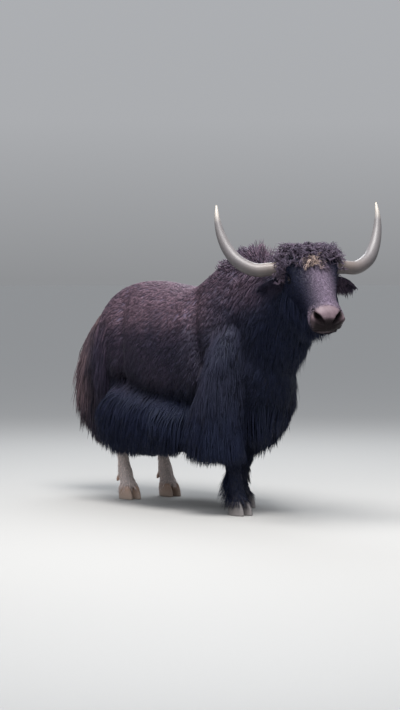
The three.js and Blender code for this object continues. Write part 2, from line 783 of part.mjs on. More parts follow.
const headGroup = new THREE.Group();
headGroup.applyMatrix4(headFrame);
yak.add(headGroup);
addPart(headGroup, "head", finishedHead(), FACE_COAT);
for (const [name, side] of SIDES) {
  addPart(headGroup, `horn_${name}`, hornSolid(side), HORN);
  addPart(headGroup, `ear_${name}`, earSolid(side), COAT);
  addPart(headGroup, `eye_${name}`, ball(eyeCentre(side), Array(3).fill(EYE_RADIUS), 12, 8), EYE);
}

// The origin is on the floor, under the middle of the animal's box
const middle = new THREE.Box3().setFromObject(yak, true).getCenter(new THREE.Vector3());
yak.position.set(-middle.x, -middle.y, 0);

export default yak;
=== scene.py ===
# %% [markdown]
# A long-haired yak bull, life size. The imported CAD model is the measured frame: it says where every part of
# the animal is. This script gives the animal its looks: one soft skin, a coat of solid tufts over it, and
# separate horns, eyes and claws.

# %% Load the frame
import math

import bpy
import numpy as np
from mathutils import Matrix, Vector
from mathutils.bvhtree import BVHTree
from mathutils.kdtree import KDTree


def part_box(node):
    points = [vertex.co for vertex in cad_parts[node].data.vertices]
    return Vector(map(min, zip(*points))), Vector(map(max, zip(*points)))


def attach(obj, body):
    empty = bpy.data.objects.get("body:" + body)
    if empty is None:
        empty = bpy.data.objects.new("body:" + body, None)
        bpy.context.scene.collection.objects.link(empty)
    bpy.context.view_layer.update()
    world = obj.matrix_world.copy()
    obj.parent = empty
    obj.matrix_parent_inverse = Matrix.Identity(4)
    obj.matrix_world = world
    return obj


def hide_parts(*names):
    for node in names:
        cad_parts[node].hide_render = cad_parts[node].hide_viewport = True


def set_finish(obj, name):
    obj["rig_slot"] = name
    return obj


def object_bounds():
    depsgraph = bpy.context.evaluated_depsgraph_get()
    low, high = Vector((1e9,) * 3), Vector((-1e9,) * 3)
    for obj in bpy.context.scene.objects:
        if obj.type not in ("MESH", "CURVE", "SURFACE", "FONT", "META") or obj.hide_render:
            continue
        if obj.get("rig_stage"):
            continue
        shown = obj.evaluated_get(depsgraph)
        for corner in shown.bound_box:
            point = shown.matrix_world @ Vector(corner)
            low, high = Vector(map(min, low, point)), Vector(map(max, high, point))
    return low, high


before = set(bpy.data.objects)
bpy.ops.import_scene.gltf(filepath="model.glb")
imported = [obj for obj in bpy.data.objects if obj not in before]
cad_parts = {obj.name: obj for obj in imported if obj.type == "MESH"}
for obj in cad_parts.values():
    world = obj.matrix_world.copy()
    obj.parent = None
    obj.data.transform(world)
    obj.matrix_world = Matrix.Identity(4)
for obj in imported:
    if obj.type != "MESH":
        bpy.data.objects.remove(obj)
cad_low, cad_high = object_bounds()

print("CAD box", [round(v, 3) for v in (*cad_low, *cad_high)])

# %% [markdown]
# Every size below is in metres, in the animal's own frame, where x = 0 is the middle of the trunk and z = 0
# is the floor. The CAD model is centred on its box, so one small shift joins the two. It is measured on the
# right fore foot, whose place in the animal's frame is known.

# %% Join the animal's frame to the CAD frame
FORE_FOOT_RIGHT = (0.5, -0.15)
CLAW_FRONT = 0.067

toe_low, toe_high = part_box("foreleg_right_claw_right")
heel_low, heel_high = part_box("foreleg_right_claw_left")
ORIGIN = np.array([
    toe_high.x - FORE_FOOT_RIGHT[0] - CLAW_FRONT,
    (toe_low.y + heel_high.y) / 2 - FORE_FOOT_RIGHT[1],
    0.0,
])
DENSITY = 1.0
print("origin of the animal's frame", ORIGIN.round(4))

# %% [markdown]
# An animal's trunk, neck, legs and muzzle are round forms that swell and narrow. Metaballs or sculpting
# would make them too, but a loft through a few measured cross-sections keeps every width a number that can
# be checked. Each row holds the section's centre, its half width, and how far it rises and drops from
# there.

# %% A loft through cross-sections


def blend_rows(rows, t):
    """Values of the rows at t from 0 to 1, on a smooth curve through them."""
    last = len(rows) - 1
    place = np.clip(t, 0, 1) * last
    i = np.minimum(place.astype(int), last - 1)
    f = (place - i)[..., None]
    a, b, c, d = (rows[np.clip(i + k, 0, last)] for k in (-1, 0, 1, 2))
    slope = c - a
    bend = 2 * a - 5 * b + 4 * c - d
    twist = 3 * b - a - 3 * c + d
    return b + 0.5 * f * (slope + f * (bend + f * twist))


def unit(v):
    return v / np.maximum(np.linalg.norm(v, axis=-1, keepdims=True), 1e-9)


class Loft:
    """A round body through rows of x, y, z, half width, rise and drop. A positive grow makes it thicker."""

    def __init__(self, rows, reference, above=2.0, below=2.0, grow=0.0):
        self.rows = np.array(rows, float)
        self.reference = np.array(reference, float)
        self.above, self.below, self.grow = above, below, grow

    def path(self, t):
        return blend_rows(self.rows, np.asarray(t, float))[..., :3]

    def points(self, t, angle):
        t, angle = np.broadcast_arrays(np.asarray(t, float), np.asarray(angle, float))
        values = blend_rows(self.rows, t)
        step = 1e-3
        along = unit(self.path(t + step) - self.path(t - step))
        lean = (along @ self.reference)[..., None]
        rise = unit(self.reference - along * lean)
        across = np.cross(rise, along)
        c, s = np.cos(angle), np.sin(angle)
        power = np.where(s > 0, 2 / self.above, 2 / self.below)
        radii = np.maximum(values[..., 3:] + self.grow, 0.004)
        wide = np.sign(c) * np.abs(c) ** power * radii[..., 0]
        tall = np.sign(s) * np.abs(s) ** power * np.where(s > 0, radii[..., 1], radii[..., 2])
        return values[..., :3] + across * wide[..., None] + rise * tall[..., None]

    def grid(self, steps, sides):
        t = np.linspace(0, 1, steps + 1)[:, None]
        angle = np.linspace(0, 2 * np.pi, sides, endpoint=False)[None, :]
        return self.points(t, angle)


def ring_faces(rings, sides):
    """Faces of an open tube whose rings of points follow one another."""
    faces = []
    for r in range(rings - 1):
        for j in range(sides):
            n = (j + 1) % sides
            faces.append((r * sides + j, r * sides + n, (r + 1) * sides + n, (r + 1) * sides + j))
    return faces


def tube_faces(rings, sides):
    """Faces of a closed tube, with a fan at each end."""
    faces = ring_faces(rings, sides)
    first, last = rings * sides, rings * sides + 1
    end = (rings - 1) * sides
    for j in range(sides):
        n = (j + 1) % sides
        faces.append((first, n, j))
        faces.append((last, end + j, end + n))
    return faces


def closed(grid):
    """Points and faces of a grid of rings closed at both ends."""
    rings, sides = grid.shape[:2]
    points = np.vstack([grid.reshape(-1, 3), grid[0].mean(0), grid[-1].mean(0)])
    return points, tube_faces(rings, sides)


print("a test ring", Loft([[0, 0, 0, 1, 1, 1], [1, 0, 0, 1, 1, 1]], (0, 0, 1)).grid(1, 8).shape)

# %% [markdown]
# The trunk of a yak is deep, with a high hump over the withers, a low back and a rounded rump. Under the
# long hair the skin can't be seen, so the lofts stop a coat's depth inside the CAD solids and the hair
# fills the rest. The two big swells of hair that hang from the flank and the shoulder are lofts as well:
# hair alone would need ten times as many strands to look as full.

# %% Trunk, neck and tail
UP = (0, 0, 1)
FORWARD = (1, 0, 0)
COAT_DEPTH = 0.024

TRUNK_ROWS = [
    [-0.89, 0, 0.90, 0.07, 0.09, 0.13],
    [-0.865, 0, 0.88, 0.15, 0.19, 0.22],
    [-0.79, 0, 0.865, 0.228, 0.292, 0.30],
    [-0.65, 0, 0.85, 0.282, 0.358, 0.36],
    [-0.48, 0, 0.83, 0.31, 0.388, 0.37],
    [-0.30, 0, 0.80, 0.34, 0.40, 0.37],
    [-0.10, 0, 0.78, 0.36, 0.402, 0.37],
    [0.10, 0, 0.785, 0.35, 0.425, 0.37],
    [0.28, 0, 0.80, 0.318, 0.50, 0.36],
    [0.41, -0.01, 0.815, 0.256, 0.562, 0.35],
    [0.51, -0.02, 0.83, 0.20, 0.556, 0.35],
    [0.59, -0.027, 0.845, 0.146, 0.52, 0.31],
    [0.65, -0.031, 0.855, 0.092, 0.40, 0.24],
    [0.685, -0.034, 0.86, 0.04, 0.17, 0.11],
]
NECK_ROWS = [
    [0.43, 0, 0.94, 0.205, 0.35, 0.30],
    [0.545, -0.006, 0.985, 0.19, 0.368, 0.29],
    [0.65, -0.014, 1.035, 0.172, 0.318, 0.275],
    [0.74, -0.024, 1.085, 0.152, 0.24, 0.24],
    [0.82, -0.034, 1.135, 0.132, 0.166, 0.20],
    [0.89, -0.044, 1.185, 0.104, 0.10, 0.14],
]
TAIL_ROWS = [
    [-0.832, 0, 1.07, 0.04, 0.06, 0.03],
    [-0.90, -0.004, 1.026, 0.058, 0.078, 0.044],
    [-0.955, -0.018, 0.94, 0.084, 0.092, 0.056],
    [-0.99, -0.038, 0.84, 0.104, 0.098, 0.078],
    [-1.006, -0.056, 0.72, 0.112, 0.09, 0.088],
    [-1.0, -0.064, 0.59, 0.10, 0.07, 0.078],
    [-0.972, -0.068, 0.47, 0.07, 0.048, 0.052],
    [-0.94, -0.068, 0.40, 0.026, 0.024, 0.024],
]
trunk = Loft(TRUNK_ROWS, UP, above=2.1, below=2.5, grow=-COAT_DEPTH)
neck = Loft(NECK_ROWS, UP, above=2.0, below=2.2, grow=-COAT_DEPTH)
tail = Loft(TAIL_ROWS, FORWARD, grow=-0.006)
print("hump of the skin", trunk.grid(80, 40)[..., 2].max().round(3))

# %% [markdown]
# The swell on the flank starts under a crease that runs from the stifle to the elbow. The swell on each
# shoulder hangs from the shoulder blade down over the fore leg, and is further back on the left, where the
# leg is back.

# %% The swells of long hair on flank and shoulder


def flank_swell(side):
    """Half width is measured up and down here, rise is outwards."""
    rows = [
        [-0.60, 0.20, 0.47, 0.10, 0.04, 0.10],
        [-0.55, 0.216, 0.475, 0.15, 0.086, 0.12],
        [-0.42, 0.232, 0.478, 0.178, 0.114, 0.14],
        [-0.22, 0.242, 0.462, 0.172, 0.118, 0.15],
        [0.00, 0.242, 0.452, 0.162, 0.112, 0.15],
        [0.15, 0.222, 0.45, 0.14, 0.10, 0.14],
        [0.26, 0.20, 0.45, 0.10, 0.08, 0.12],
    ]
    return Loft([[x, side * y, *rest] for x, y, *rest in rows], (0, side, 0), above=1.85)


def shoulder_swell(side):
    """The left one is further back and ends higher, because that leg is back."""
    rows = [
        [0.44, 0.07, 1.04, 0.07, 0.05, 0.05],
        [0.44, 0.125, 0.92, 0.095, 0.082, 0.07],
        [0.442, 0.178, 0.80, 0.105, 0.102, 0.09],
        [0.435, 0.208, 0.68, 0.115, 0.116, 0.10],
        [0.42, 0.222, 0.56, 0.14, 0.128, 0.11],
        [0.40, 0.225, 0.45, 0.165, 0.134, 0.12],
        [0.39, 0.22, 0.37, 0.15, 0.104, 0.10],
        [0.39, 0.215, 0.31, 0.08, 0.05, 0.06],
    ] if side < 0 else [
        [0.385, 0.12, 0.98, 0.10, 0.07, 0.06],
        [0.35, 0.165, 0.86, 0.13, 0.08, 0.08],
        [0.32, 0.185, 0.72, 0.14, 0.09, 0.10],
        [0.31, 0.19, 0.58, 0.14, 0.095, 0.11],
        [0.31, 0.17, 0.48, 0.13, 0.085, 0.11],
        [0.31, 0.14, 0.39, 0.085, 0.05, 0.08],
    ]
    return Loft([[x, side * y, *rest] for x, y, *rest in rows], (0, side, 0))


SIDES = {"left": 1, "right": -1}
swells = {f"flank_{name}": flank_swell(side) for name, side in SIDES.items()}
swells.update({f"shoulder_{name}": shoulder_swell(side) for name, side in SIDES.items()})
print("swells", sorted(swells))

# %% [markdown]
# A yak's legs are short and strong: forearm, knee, cannon, fetlock and pastern in front, and thigh, hock
# and cannon behind. They stand where the CAD feet stand.

# %% Legs
FEET = {
    "foreleg_left": (0.2, 0.09), "foreleg_right": FORE_FOOT_RIGHT,
    "hindleg_left": (-0.56, 0.132), "hindleg_right": (-0.55, -0.14),
}
HOOF_TOP = 0.072


def mix(a, b, share):
    return a + (b - a) * share


def foreleg(foot, side):
    x, y = foot
    elbow = (0.375, 0.195 * side)

    def row(z, share, *radii):
        return [mix(x - 0.04, elbow[0], share), mix(y, elbow[1], share), z, *radii]

    return Loft([
        row(0.68, 1, 0.066, 0.084, 0.09), row(0.56, 0.86, 0.064, 0.076, 0.08),
        row(0.44, 0.58, 0.052, 0.054, 0.06), row(0.366, 0.42, 0.056, 0.056, 0.056),
        row(0.30, 0.26, 0.05, 0.048, 0.052), row(0.215, 0.08, 0.046, 0.043, 0.048),
        row(0.142, 0, 0.053, 0.046, 0.056), [x - 0.026, y, 0.106, 0.05, 0.046, 0.05],
        [x - 0.01, y, 0.064, 0.054, 0.06, 0.053], [x - 0.006, y, 0.05, 0.05, 0.056, 0.05],
    ], FORWARD, grow=-0.008)


def hindleg(foot, side):
    x, y = foot
    hip_x, hip_y = -0.52, 0.19 * side
    return Loft([
        [hip_x, hip_y, 0.70, 0.088, 0.12, 0.11],
        [x - 0.02, mix(y, hip_y, 0.7), 0.56, 0.07, 0.084, 0.078],
        [x - 0.086, mix(y, hip_y, 0.3), 0.43, 0.044, 0.052, 0.056],
        [x - 0.092, y, 0.365, 0.044, 0.046, 0.05], [x - 0.078, y, 0.29, 0.038, 0.038, 0.04],
        [x - 0.058, y, 0.205, 0.036, 0.035, 0.037], [x - 0.04, y, 0.142, 0.045, 0.041, 0.05],
        [x - 0.026, y, 0.106, 0.042, 0.04, 0.043], [x - 0.01, y, 0.064, 0.052, 0.057, 0.049],
        [x - 0.006, y, 0.05, 0.048, 0.053, 0.046],
    ], FORWARD, grow=-0.004)


legs = {}
for name, foot in FEET.items():
    make = foreleg if name.startswith("fore") else hindleg
    legs[name] = make(foot, 1 if name.endswith("left") else -1)
print("legs", sorted(legs))

# %% [markdown]
# Folds give the big soft body its drawing: one in front of each thigh, one behind and one in front of each
# shoulder, and one where the belly hair starts. Each fold is a line seen from the side, and the skin near
# it is pressed in. A row holds the fold's reach, its depth and its bends.

# %% Folds in the hide
CREASES = [
    (0.055, 0.030, [(-0.53, 1.10), (-0.45, 0.95), (-0.405, 0.82), (-0.40, 0.70), (-0.46, 0.66)]),
    (0.040, 0.046, [(0.20, 1.10), (0.25, 0.96), (0.30, 0.80), (0.325, 0.69), (0.275, 0.56), (0.248, 0.464),
                    (0.232, 0.30)]),
    (0.044, 0.028, [(-0.54, 0.655), (-0.42, 0.67), (-0.28, 0.645), (-0.10, 0.615), (0.08, 0.585), (0.22, 0.56)]),
    (0.050, 0.022, [(0.50, 0.98), (0.545, 0.82), (0.54, 0.64), (0.53, 0.46)]),
]


def distance_to_line(points, line):
    """The shortest distance from each point to a line of two or more points."""
    best = np.full(points.shape[:-1], 9.0)
    for a, b in zip(line[:-1], line[1:]):
        ab = b - a
        share = np.clip(((points - a) @ ab) / max(ab @ ab, 1e-12), 0, 1)
        best = np.minimum(best, np.linalg.norm(points - (a + share[..., None] * ab), axis=-1))
    return best


def press_creases(points, normals):
    outer = np.clip((np.abs(points[:, 1]) - 0.10) / 0.08, 0, 1)
    pressed = points.copy()
    for reach, depth, bends in CREASES:
        gap = distance_to_line(points[:, [0, 2]], np.array(bends))
        pressed -= normals * (depth * outer * np.exp(-((gap / reach) ** 2)))[:, None]
    return pressed


print("creases", len(CREASES))

# %% [markdown]
# Where the lofts meet, a boolean union would leave sharp seams. A voxel remesh wraps one even surface round
# all of them, and a little smoothing melts the joints into flesh.

# %% One body from all the lofts
VOXEL = 0.015
body_parts = {"trunk": trunk, "neck": neck, "tail": tail, **swells, **legs}


def add_object(name, data):
    obj = bpy.data.objects.new(name, data)
    bpy.context.scene.collection.objects.link(obj)
    return obj


def object_from(name, points, faces):
    """A smooth-shaded object made from points and faces."""
    mesh = bpy.data.meshes.new(name)
    mesh.from_pydata([tuple(p) for p in points], [], faces)
    mesh.validate()
    mesh.shade_smooth()
    return add_object(name, mesh)


def nearest(points, places):
    """The number of the nearest place, for each of the points."""
    tree = KDTree(len(places))
    for number, place in enumerate(places):
        tree.insert(place, number)
    tree.balance()
    return [tree.find(point)[1] for point in points]


def united_body():
    """The remeshed body, as points and faces, with the part that each point belongs to."""
    points, faces, owners = [], [], []
    for name, loft in body_parts.items():
        p, f = closed(loft.grid(48, 40))
        start = sum(len(q) for q in points)
        points.append(p)
        owners += [name] * len(p)
        faces += [tuple(start + i for i in face) for face in f]
    points = np.vstack(points)
    work = object_from("body_work", points, faces)
    wrap = work.modifiers.new("wrap", "REMESH")
    wrap.mode = "VOXEL"
    wrap.voxel_size = VOXEL
    soften = work.modifiers.new("soften", "SMOOTH")
    soften.factor = 0.5
    soften.iterations = 7
    made = work.evaluated_get(bpy.context.evaluated_depsgraph_get()).to_mesh()
    out = np.array([v.co for v in made.vertices])
    out = press_creases(out, np.array([v.normal for v in made.vertices]))
    quads = [tuple(p.vertices) for p in made.polygons]
    bpy.data.objects.remove(work)
    return out, quads, [owners[number] for number in nearest(out, points)]


body_points, body_faces, body_owner = united_body()
print("body", len(body_faces), "faces")

# %% [markdown]
# The head carries the most detail, so it isn't remeshed: a loft grid keeps its fine, even rows of points.
# The face is lofted down from the line between the horns, then soft brushes move the points: each brush has
# a place, a reach and a push, and fades out like a bell.

# %% The head's own frame
HEAD_TURN = math.radians(-24)
HEAD_TILT = math.radians(1.5)
FACE_SLOPE = math.radians(30)
HORN_LINE = Vector((0.95, -0.06, 1.26))
head_matrix = (
    Matrix.Translation(HORN_LINE)
    @ Matrix.Rotation(HEAD_TURN, 4, "Z")
    @ Matrix.Rotation(HEAD_TILT, 4, "X")
    @ Matrix.Rotation(FACE_SLOPE, 4, "Y")
)
HEAD_AXES = np.array(head_matrix.to_3x3())
HEAD_START = np.array(HORN_LINE)


def from_head(points):
    return points @ HEAD_AXES.T + HEAD_START


def to_head(points):
    return (points - HEAD_START) @ HEAD_AXES


def level(out, forward, rise):
    """A point of the head's frame given by level measures from the middle of the horn line."""
    c, s = math.cos(FACE_SLOPE), math.sin(FACE_SLOPE)
    return np.array([forward * c - rise * s, out, forward * s + rise * c])


print("muzzle end at", from_head(np.array([0.465, 0, -0.05])).round(3))

# %% [markdown]
# Brow, eye socket, cheekbone, jaw muscle, nostril wing and chin are the landmarks of a bovine head. The
# nostrils are pushed deep, and the mouth is a groove with full lips on both sides.

# %% The face
HEAD_ROWS = [
    [-0.098, 0, -0.022, 0.055, 0.04, 0.06],
    [-0.072, 0, -0.015, 0.10, 0.076, 0.122],
    [-0.025, 0, -0.008, 0.119, 0.082, 0.165],
    [0.03, 0, -0.005, 0.125, 0.08, 0.196],
    [0.088, 0, -0.005, 0.126, 0.074, 0.208],
    [0.145, 0, -0.009, 0.111, 0.065, 0.20],
    [0.205, 0, -0.016, 0.092, 0.06, 0.17],
    [0.27, 0, -0.025, 0.079, 0.058, 0.136],
    [0.33, 0, -0.033, 0.074, 0.061, 0.11],
    [0.385, 0, -0.038, 0.08, 0.065, 0.092],
    [0.428, 0, -0.043, 0.081, 0.06, 0.082],
    [0.452, 0, -0.047, 0.068, 0.047, 0.068],
    [0.464, 0, -0.05, 0.048, 0.033, 0.048],
    [0.470, 0, -0.051, 0.028, 0.019, 0.028],
    [0.4725, 0, -0.051, 0.010, 0.007, 0.010],
]
TIP_FRONT, TIP_HEIGHT, TIP_REACH = 0.4735, -0.051, 0.042
EYE_RADIUS = 0.021
NOSTRIL = np.array([0.459, 0.047, -0.018])
EYE_PLACE = (0.098, 0.103, -0.002)
MIDDLE_BRUSHES = {
    "bridge of the nose": ((0.25, 0, 0.036), 0.07, (0, 0, -0.005)),
    "chin": ((0.415, 0, -0.128), 0.034, (0.004, 0, -0.008)),
    "under the lip": ((0.44, 0, -0.118), 0.03, (-0.008, 0, 0.002)),
    "groove of the upper lip": ((0.472, 0, -0.055), (0.03, 0.007, 0.032), (-0.005, 0, 0)),
}
LEFT_BRUSHES = {
    "brow": ((0.082, 0.112, 0.036), 0.038, (0, 0.008, 0.013)),
    "eye socket": ((0.102, 0.124, -0.006), 0.032, (0, -0.011, 0)),
    "hollow behind the lids": ((0.098, 0.116, -0.002), (0.0185, 0.03, 0.0105), (0, -0.009, 0)),
    "jaw muscle": ((0.07, 0.108, -0.11), 0.062, (0, 0.01, 0)),
    "cheekbone": ((0.19, 0.092, -0.048), 0.04, (0, 0.007, 0)),
    "throat side of the jaw": ((0.15, 0.10, -0.15), 0.03, (0, -0.006, 0.004)),
    "nostril wing": ((0.446, 0.06, -0.03), 0.026, (0.006, 0.009, 0.005)),
    "nostril rim": ((0.45, 0.07, -0.028), (0.012, 0.012, 0.02), (0.004, 0.004, 0)),
}


def eye_centre(side):
    return np.array(EYE_PLACE) * np.array([1, side, 1])


def brush(points, side, at, reach, push):
    mirror = np.array([1, side, 1])
    distance = np.linalg.norm((points - at * mirror) / np.array(reach), axis=-1, keepdims=True)
    return np.exp(-distance ** 2) * (push * mirror)


def round_tip(points):
    """Smooths the middle of the muzzle's front into one shallow dome."""
    apart = np.hypot(points[..., 1], points[..., 2] - TIP_HEIGHT)
    share = np.clip((TIP_REACH - apart) / 0.016, 0, 1) * (points[..., 0] > 0.44)
    share = share * share * (3 - 2 * share)
    dome = TIP_FRONT - 4.6 * apart ** 2
    rounded = points.copy()
    rounded[..., 0] += share * (dome - points[..., 0])
    return rounded


def face_brushes(points):
    moved = points.copy()
    for row in MIDDLE_BRUSHES.values():
        moved += brush(points, 1, *row)
    for side in SIDES.values():
        for row in LEFT_BRUSHES.values():
            moved += brush(points, side, *row)
    return moved


head = Loft(HEAD_ROWS, UP, above=2.5, below=2.3)
head_grid = face_brushes(round_tip(head.grid(168, 132)))
print("head grid", head_grid.shape)

# %% [markdown]
# The line of the mouth runs from the corner under the cheek round the front of the muzzle. Points near it
# are drawn in, and the lips beside it swell a little, which reads as a closed, soft mouth.

# %% Mouth and nostrils
MOUTH_CORNER, MOUTH_FRONT = 0.335, 0.468
MOUTH_DEPTH, LIP_SWELL = 0.009, 0.0028
NOSTRIL_WIDTH, NOSTRIL_HEIGHT, NOSTRIL_DEPTH = 0.0235, 0.0170, 0.040


def mouth_line():
    """Points from the left corner round the front to the right corner."""
    x = mix(MOUTH_CORNER, MOUTH_FRONT - 0.004, np.sqrt(np.linspace(0, 1, 24)))
    along = np.linspace(0, 1, 400)
    half = head.points(np.interp(x, head.path(along)[:, 0], along), math.radians(-40))
    front = np.array([[MOUTH_FRONT, 0, -0.08]])
    other = half[::-1] * np.array([1, -1, 1])
    return np.vstack([half, front, other])


def nostril_masks(points):
    """Depth of the comma-shaped nostrils, from 0 outside to 1 in the middle."""
    mask = np.zeros(points.shape[:-1])
    for side in SIDES.values():
        offset = points - NOSTRIL * np.array([1, side, 1])
        y, z = offset[..., 1] * side, offset[..., 2]
        z = z - 0.35 * y - 12 * y * np.abs(y)
        mask = np.maximum(mask, np.exp(-((y / NOSTRIL_WIDTH) ** 2 + (z / NOSTRIL_HEIGHT) ** 2) ** 2))
    return mask * (points[..., 0] > 0.40)


mouth = mouth_line()
to_mouth = distance_to_line(head_grid, mouth)
inward = unit(head.path(np.linspace(0, 1, head_grid.shape[0]))[:, None, :] - head_grid)
mouth_mask = np.exp(-((to_mouth / 0.004) ** 2))
lip_mask = np.exp(-(((to_mouth - 0.012) / 0.007) ** 2))
nostril_mask = nostril_masks(head_grid)
head_grid = head_grid + inward * (MOUTH_DEPTH * mouth_mask - LIP_SWELL * lip_mask)[..., None]
head_grid[..., 0] -= NOSTRIL_DEPTH * nostril_mask
head_points, head_faces = closed(head_grid)
print("nostril points", int((nostril_mask > 0.5).sum()), "mouth points", int((mouth_mask > 0.5).sum()))

# %% [markdown]
# The thick cushion under the forelock is part of the skin: a low dome between and in front of the horns, a
# little higher at the temples. The curls are rooted on it later.

# %% The poll under the forelock
CUSHION = 0.016
TEMPLE_RISE = 0.018


def forelock_place(points):
    """1 where the curly forelock grows, in the head's frame, fading out at its edges."""
    x, y, z = points[..., 0], points[..., 1], points[..., 2]
    right = np.clip(-y / 0.1, 0, 1)
    front = 1 / (1 + np.exp((x - 0.092 + (0.5 - 0.2 * right) * np.abs(y)) / 0.008))
    top = 1 / (1 + np.exp((-z - 0.012 - 0.036 * right - 0.1 * np.maximum(0.02 - x, 0)) / 0.008))
    eye_gap = np.hypot(x - EYE_PLACE[0], z - EYE_PLACE[2])
    return front * top * (1 - np.exp(-((eye_gap / 0.038) ** 4)))


x, y, z = head_points.T
outward = unit(head_points - np.array([0.0, 0, -0.06]))
temples = np.exp(-(((np.abs(y) - 0.088) / 0.034) ** 2)) * np.clip(z / 0.04, 0, 1)
height = (CUSHION + TEMPLE_RISE * temples) * (forelock_place(head_points) * np.clip((0.11 - x) / 0.08, 0, 1))
head_points = head_points + outward * height[:, None]
print("cushion height", height.max().round(3))

# %% [markdown]
# A cow-like ear is a leaf rolled into a cup. The leaf is a loft whose front is pushed in, so its rim stays
# proud, and it droops a little outwards and down.

# %% Ears
EAR_ROOT = (0.098, -0.022, -0.058)
EAR_TIP = (0.245, -0.05, -0.104)
EAR_SHAPE = [
    [0.0, 0.024, 0.020], [0.2, 0.031, 0.017], [0.45, 0.040, 0.013], [0.7, 0.034, 0.010], [0.9, 0.018, 0.006],
    [1.0, 0.004, 0.003],
]


def ear(side):
    root = level(EAR_ROOT[0] * side, *EAR_ROOT[1:])
    tip = level(EAR_TIP[0] * side, *EAR_TIP[1:])
    rows = []
    for t, wide, deep in EAR_SHAPE:
        centre = mix(root, tip, t) + np.array([0.010 * math.sin(math.pi * t), 0, 0])
        rows.append([*centre, wide, deep, deep])
    leaf = Loft(rows, FORWARD)
    grid = leaf.grid(30, 36)
    hollow = np.clip(np.sin(np.linspace(0, 2 * np.pi, 36, endpoint=False)), 0, 1) ** 2
    share = np.clip((np.linspace(0, 1, 31) - 0.12) / 0.2, 0, 1)
    depth = leaf.rows[:, 4].mean() * 1.9
    grid[..., 0] -= hollow[None, :] * share[:, None] * depth
    return closed(grid)


ears = {side: ear(side) for side in SIDES.values()}
print("ear points", len(ears[1][0]))

# %% [markdown]
# Eyelids are rings that start on the eyeball at an almond-shaped opening, turn over a rounded rim, and run
# out over the socket until they sink into the face. A row holds the ring's half length, its rise and drop,
# how far it stands proud, and how much it follows the face instead of the ball.

# %% Eyelids
LID_RINGS = [
    (0.0186, 0.0122, 0.0094, 0.0003, 0.0), (0.0191, 0.0129, 0.0100, 0.0018, 0.0),
    (0.0200, 0.0140, 0.0110, 0.0026, 0.0), (0.0216, 0.0158, 0.0126, 0.0026, 0.15),
    (0.0240, 0.0180, 0.0148, 0.0018, 0.5), (0.0275, 0.0208, 0.0178, 0.0022, 0.88),
    (0.0330, 0.0250, 0.0225, 0.0014, 1.0), (0.0400, 0.0310, 0.0285, -0.0004, 1.0),
    (0.0470, 0.0370, 0.0340, -0.0040, 1.0),
]
LID_FOLD, LID_FOLD_RING, LID_SLANT = 0.0022, 4, 0.16
face_tree = BVHTree.FromPolygons(head_points.tolist(), head_faces)


def face_depth(side, x, z):
    """How far out the cheek is, beside the eye, measured from the eye's centre."""
    hit = face_tree.ray_cast(Vector((x, 0.3 * side, z)), Vector((0, -side, 0)))[0]
    return abs(hit.y) - abs(eye_centre(side)[1])


def eyelids(side, around=56):
    phi = np.linspace(0, 2 * np.pi, around, endpoint=False)
    centre = eye_centre(side)
    rings = []
    for number, (half, top, bottom, proud, share) in enumerate(LID_RINGS):
        u = half * np.cos(phi)
        arch = np.sin(phi) * np.abs(np.sin(phi)) ** np.interp(number, [0, LID_FOLD_RING, 8], [0.6, 0.3, 0])
        v = np.where(arch > 0, top, bottom) * arch + LID_SLANT * u
        reach = EYE_RADIUS + proud
        on_ball = reach - (u ** 2 + v ** 2) / (2 * reach)
        if share == 0:
            on_ball = np.sqrt(np.maximum(reach ** 2 - u ** 2 - v ** 2, 0))
        on_face = np.array([face_depth(side, centre[0] + a, centre[2] + b) for a, b in zip(u, v)]) + proud
        w = on_ball * (1 - share) + on_face * share
        if number == LID_FOLD_RING:
            w -= LID_FOLD * np.clip(np.sin(phi), 0, 1)
        rings.append(centre + np.stack([u, w * side, v], axis=-1))
    rings = np.array(rings)
    faces = ring_faces(len(rings), around)
    if side > 0:
        faces = [face[::-1] for face in faces]
    return rings.reshape(-1, 3), faces


lids = {side: eyelids(side) for side in SIDES.values()}
print("lid points", len(lids[1][0]))

# %% [markdown]
# Body, head, ears and lids become one skin, so that no seam shows. Its own unwrap gives every tuft of hair
# a place on it.

# %% Join the skin and unwrap it
skin_points, skin_faces, skin_owner = [], [], []


def add_to_skin(points, faces, owner):
    start = sum(len(p) for p in skin_points)
    skin_points.append(points)
    skin_faces.extend(tuple(start + i for i in face) for face in faces)
    skin_owner.extend(owner if isinstance(owner, list) else [owner] * len(points))


add_to_skin(body_points, body_faces, body_owner)
add_to_skin(from_head(head_points), head_faces, "head")
for side in SIDES.values():
    add_to_skin(from_head(ears[side][0]), ears[side][1], "ear")
    add_to_skin(from_head(lids[side][0]), lids[side][1], "lid")
skin_points = np.vstack(skin_points)
skin_owner = np.array(skin_owner)

skin = object_from("skin", skin_points + ORIGIN, skin_faces)
skin.data.uv_layers.new(name="OFBake")
bpy.context.view_layer.objects.active = skin
skin.select_set(True)
bpy.ops.object.mode_set(mode="EDIT")
bpy.ops.mesh.select_all(action="SELECT")
bpy.ops.uv.smart_project(angle_limit=math.radians(66), island_margin=0.002)
bpy.ops.object.mode_set(mode="OBJECT")
skin.select_set(False)
print("skin", len(skin.data.polygons), "faces")

# %% [markdown]
# The coat is near black, with a blue in its colour low down and on the shoulder that paints the sky's
# reflection, and purplish brown where the sun has bleached the flank, the back and the edge of the tail. The
# brown fades down the flank, which paints the light that falls from above. The hind shanks are pale. These
# markings are smooth functions of place, used by the skin and by every tuft, so both agree.

# %% Markings
# The face's grey is partly painted sheen on the lit front of the face.
FACE_GREY = 0.046
HEAD_REACH = 0.6
NOSTRIL_BARE = 0.028


def bump(value, low, high, soft):
    """1 between low and high, fading over soft on each side."""
    return (1 + np.tanh((value - low) / soft)) * (1 + np.tanh((high - value) / soft)) / 4


def on_head(q):
    """True for points near the head, given in its own frame."""
    return np.linalg.norm(q, axis=1) < HEAD_REACH


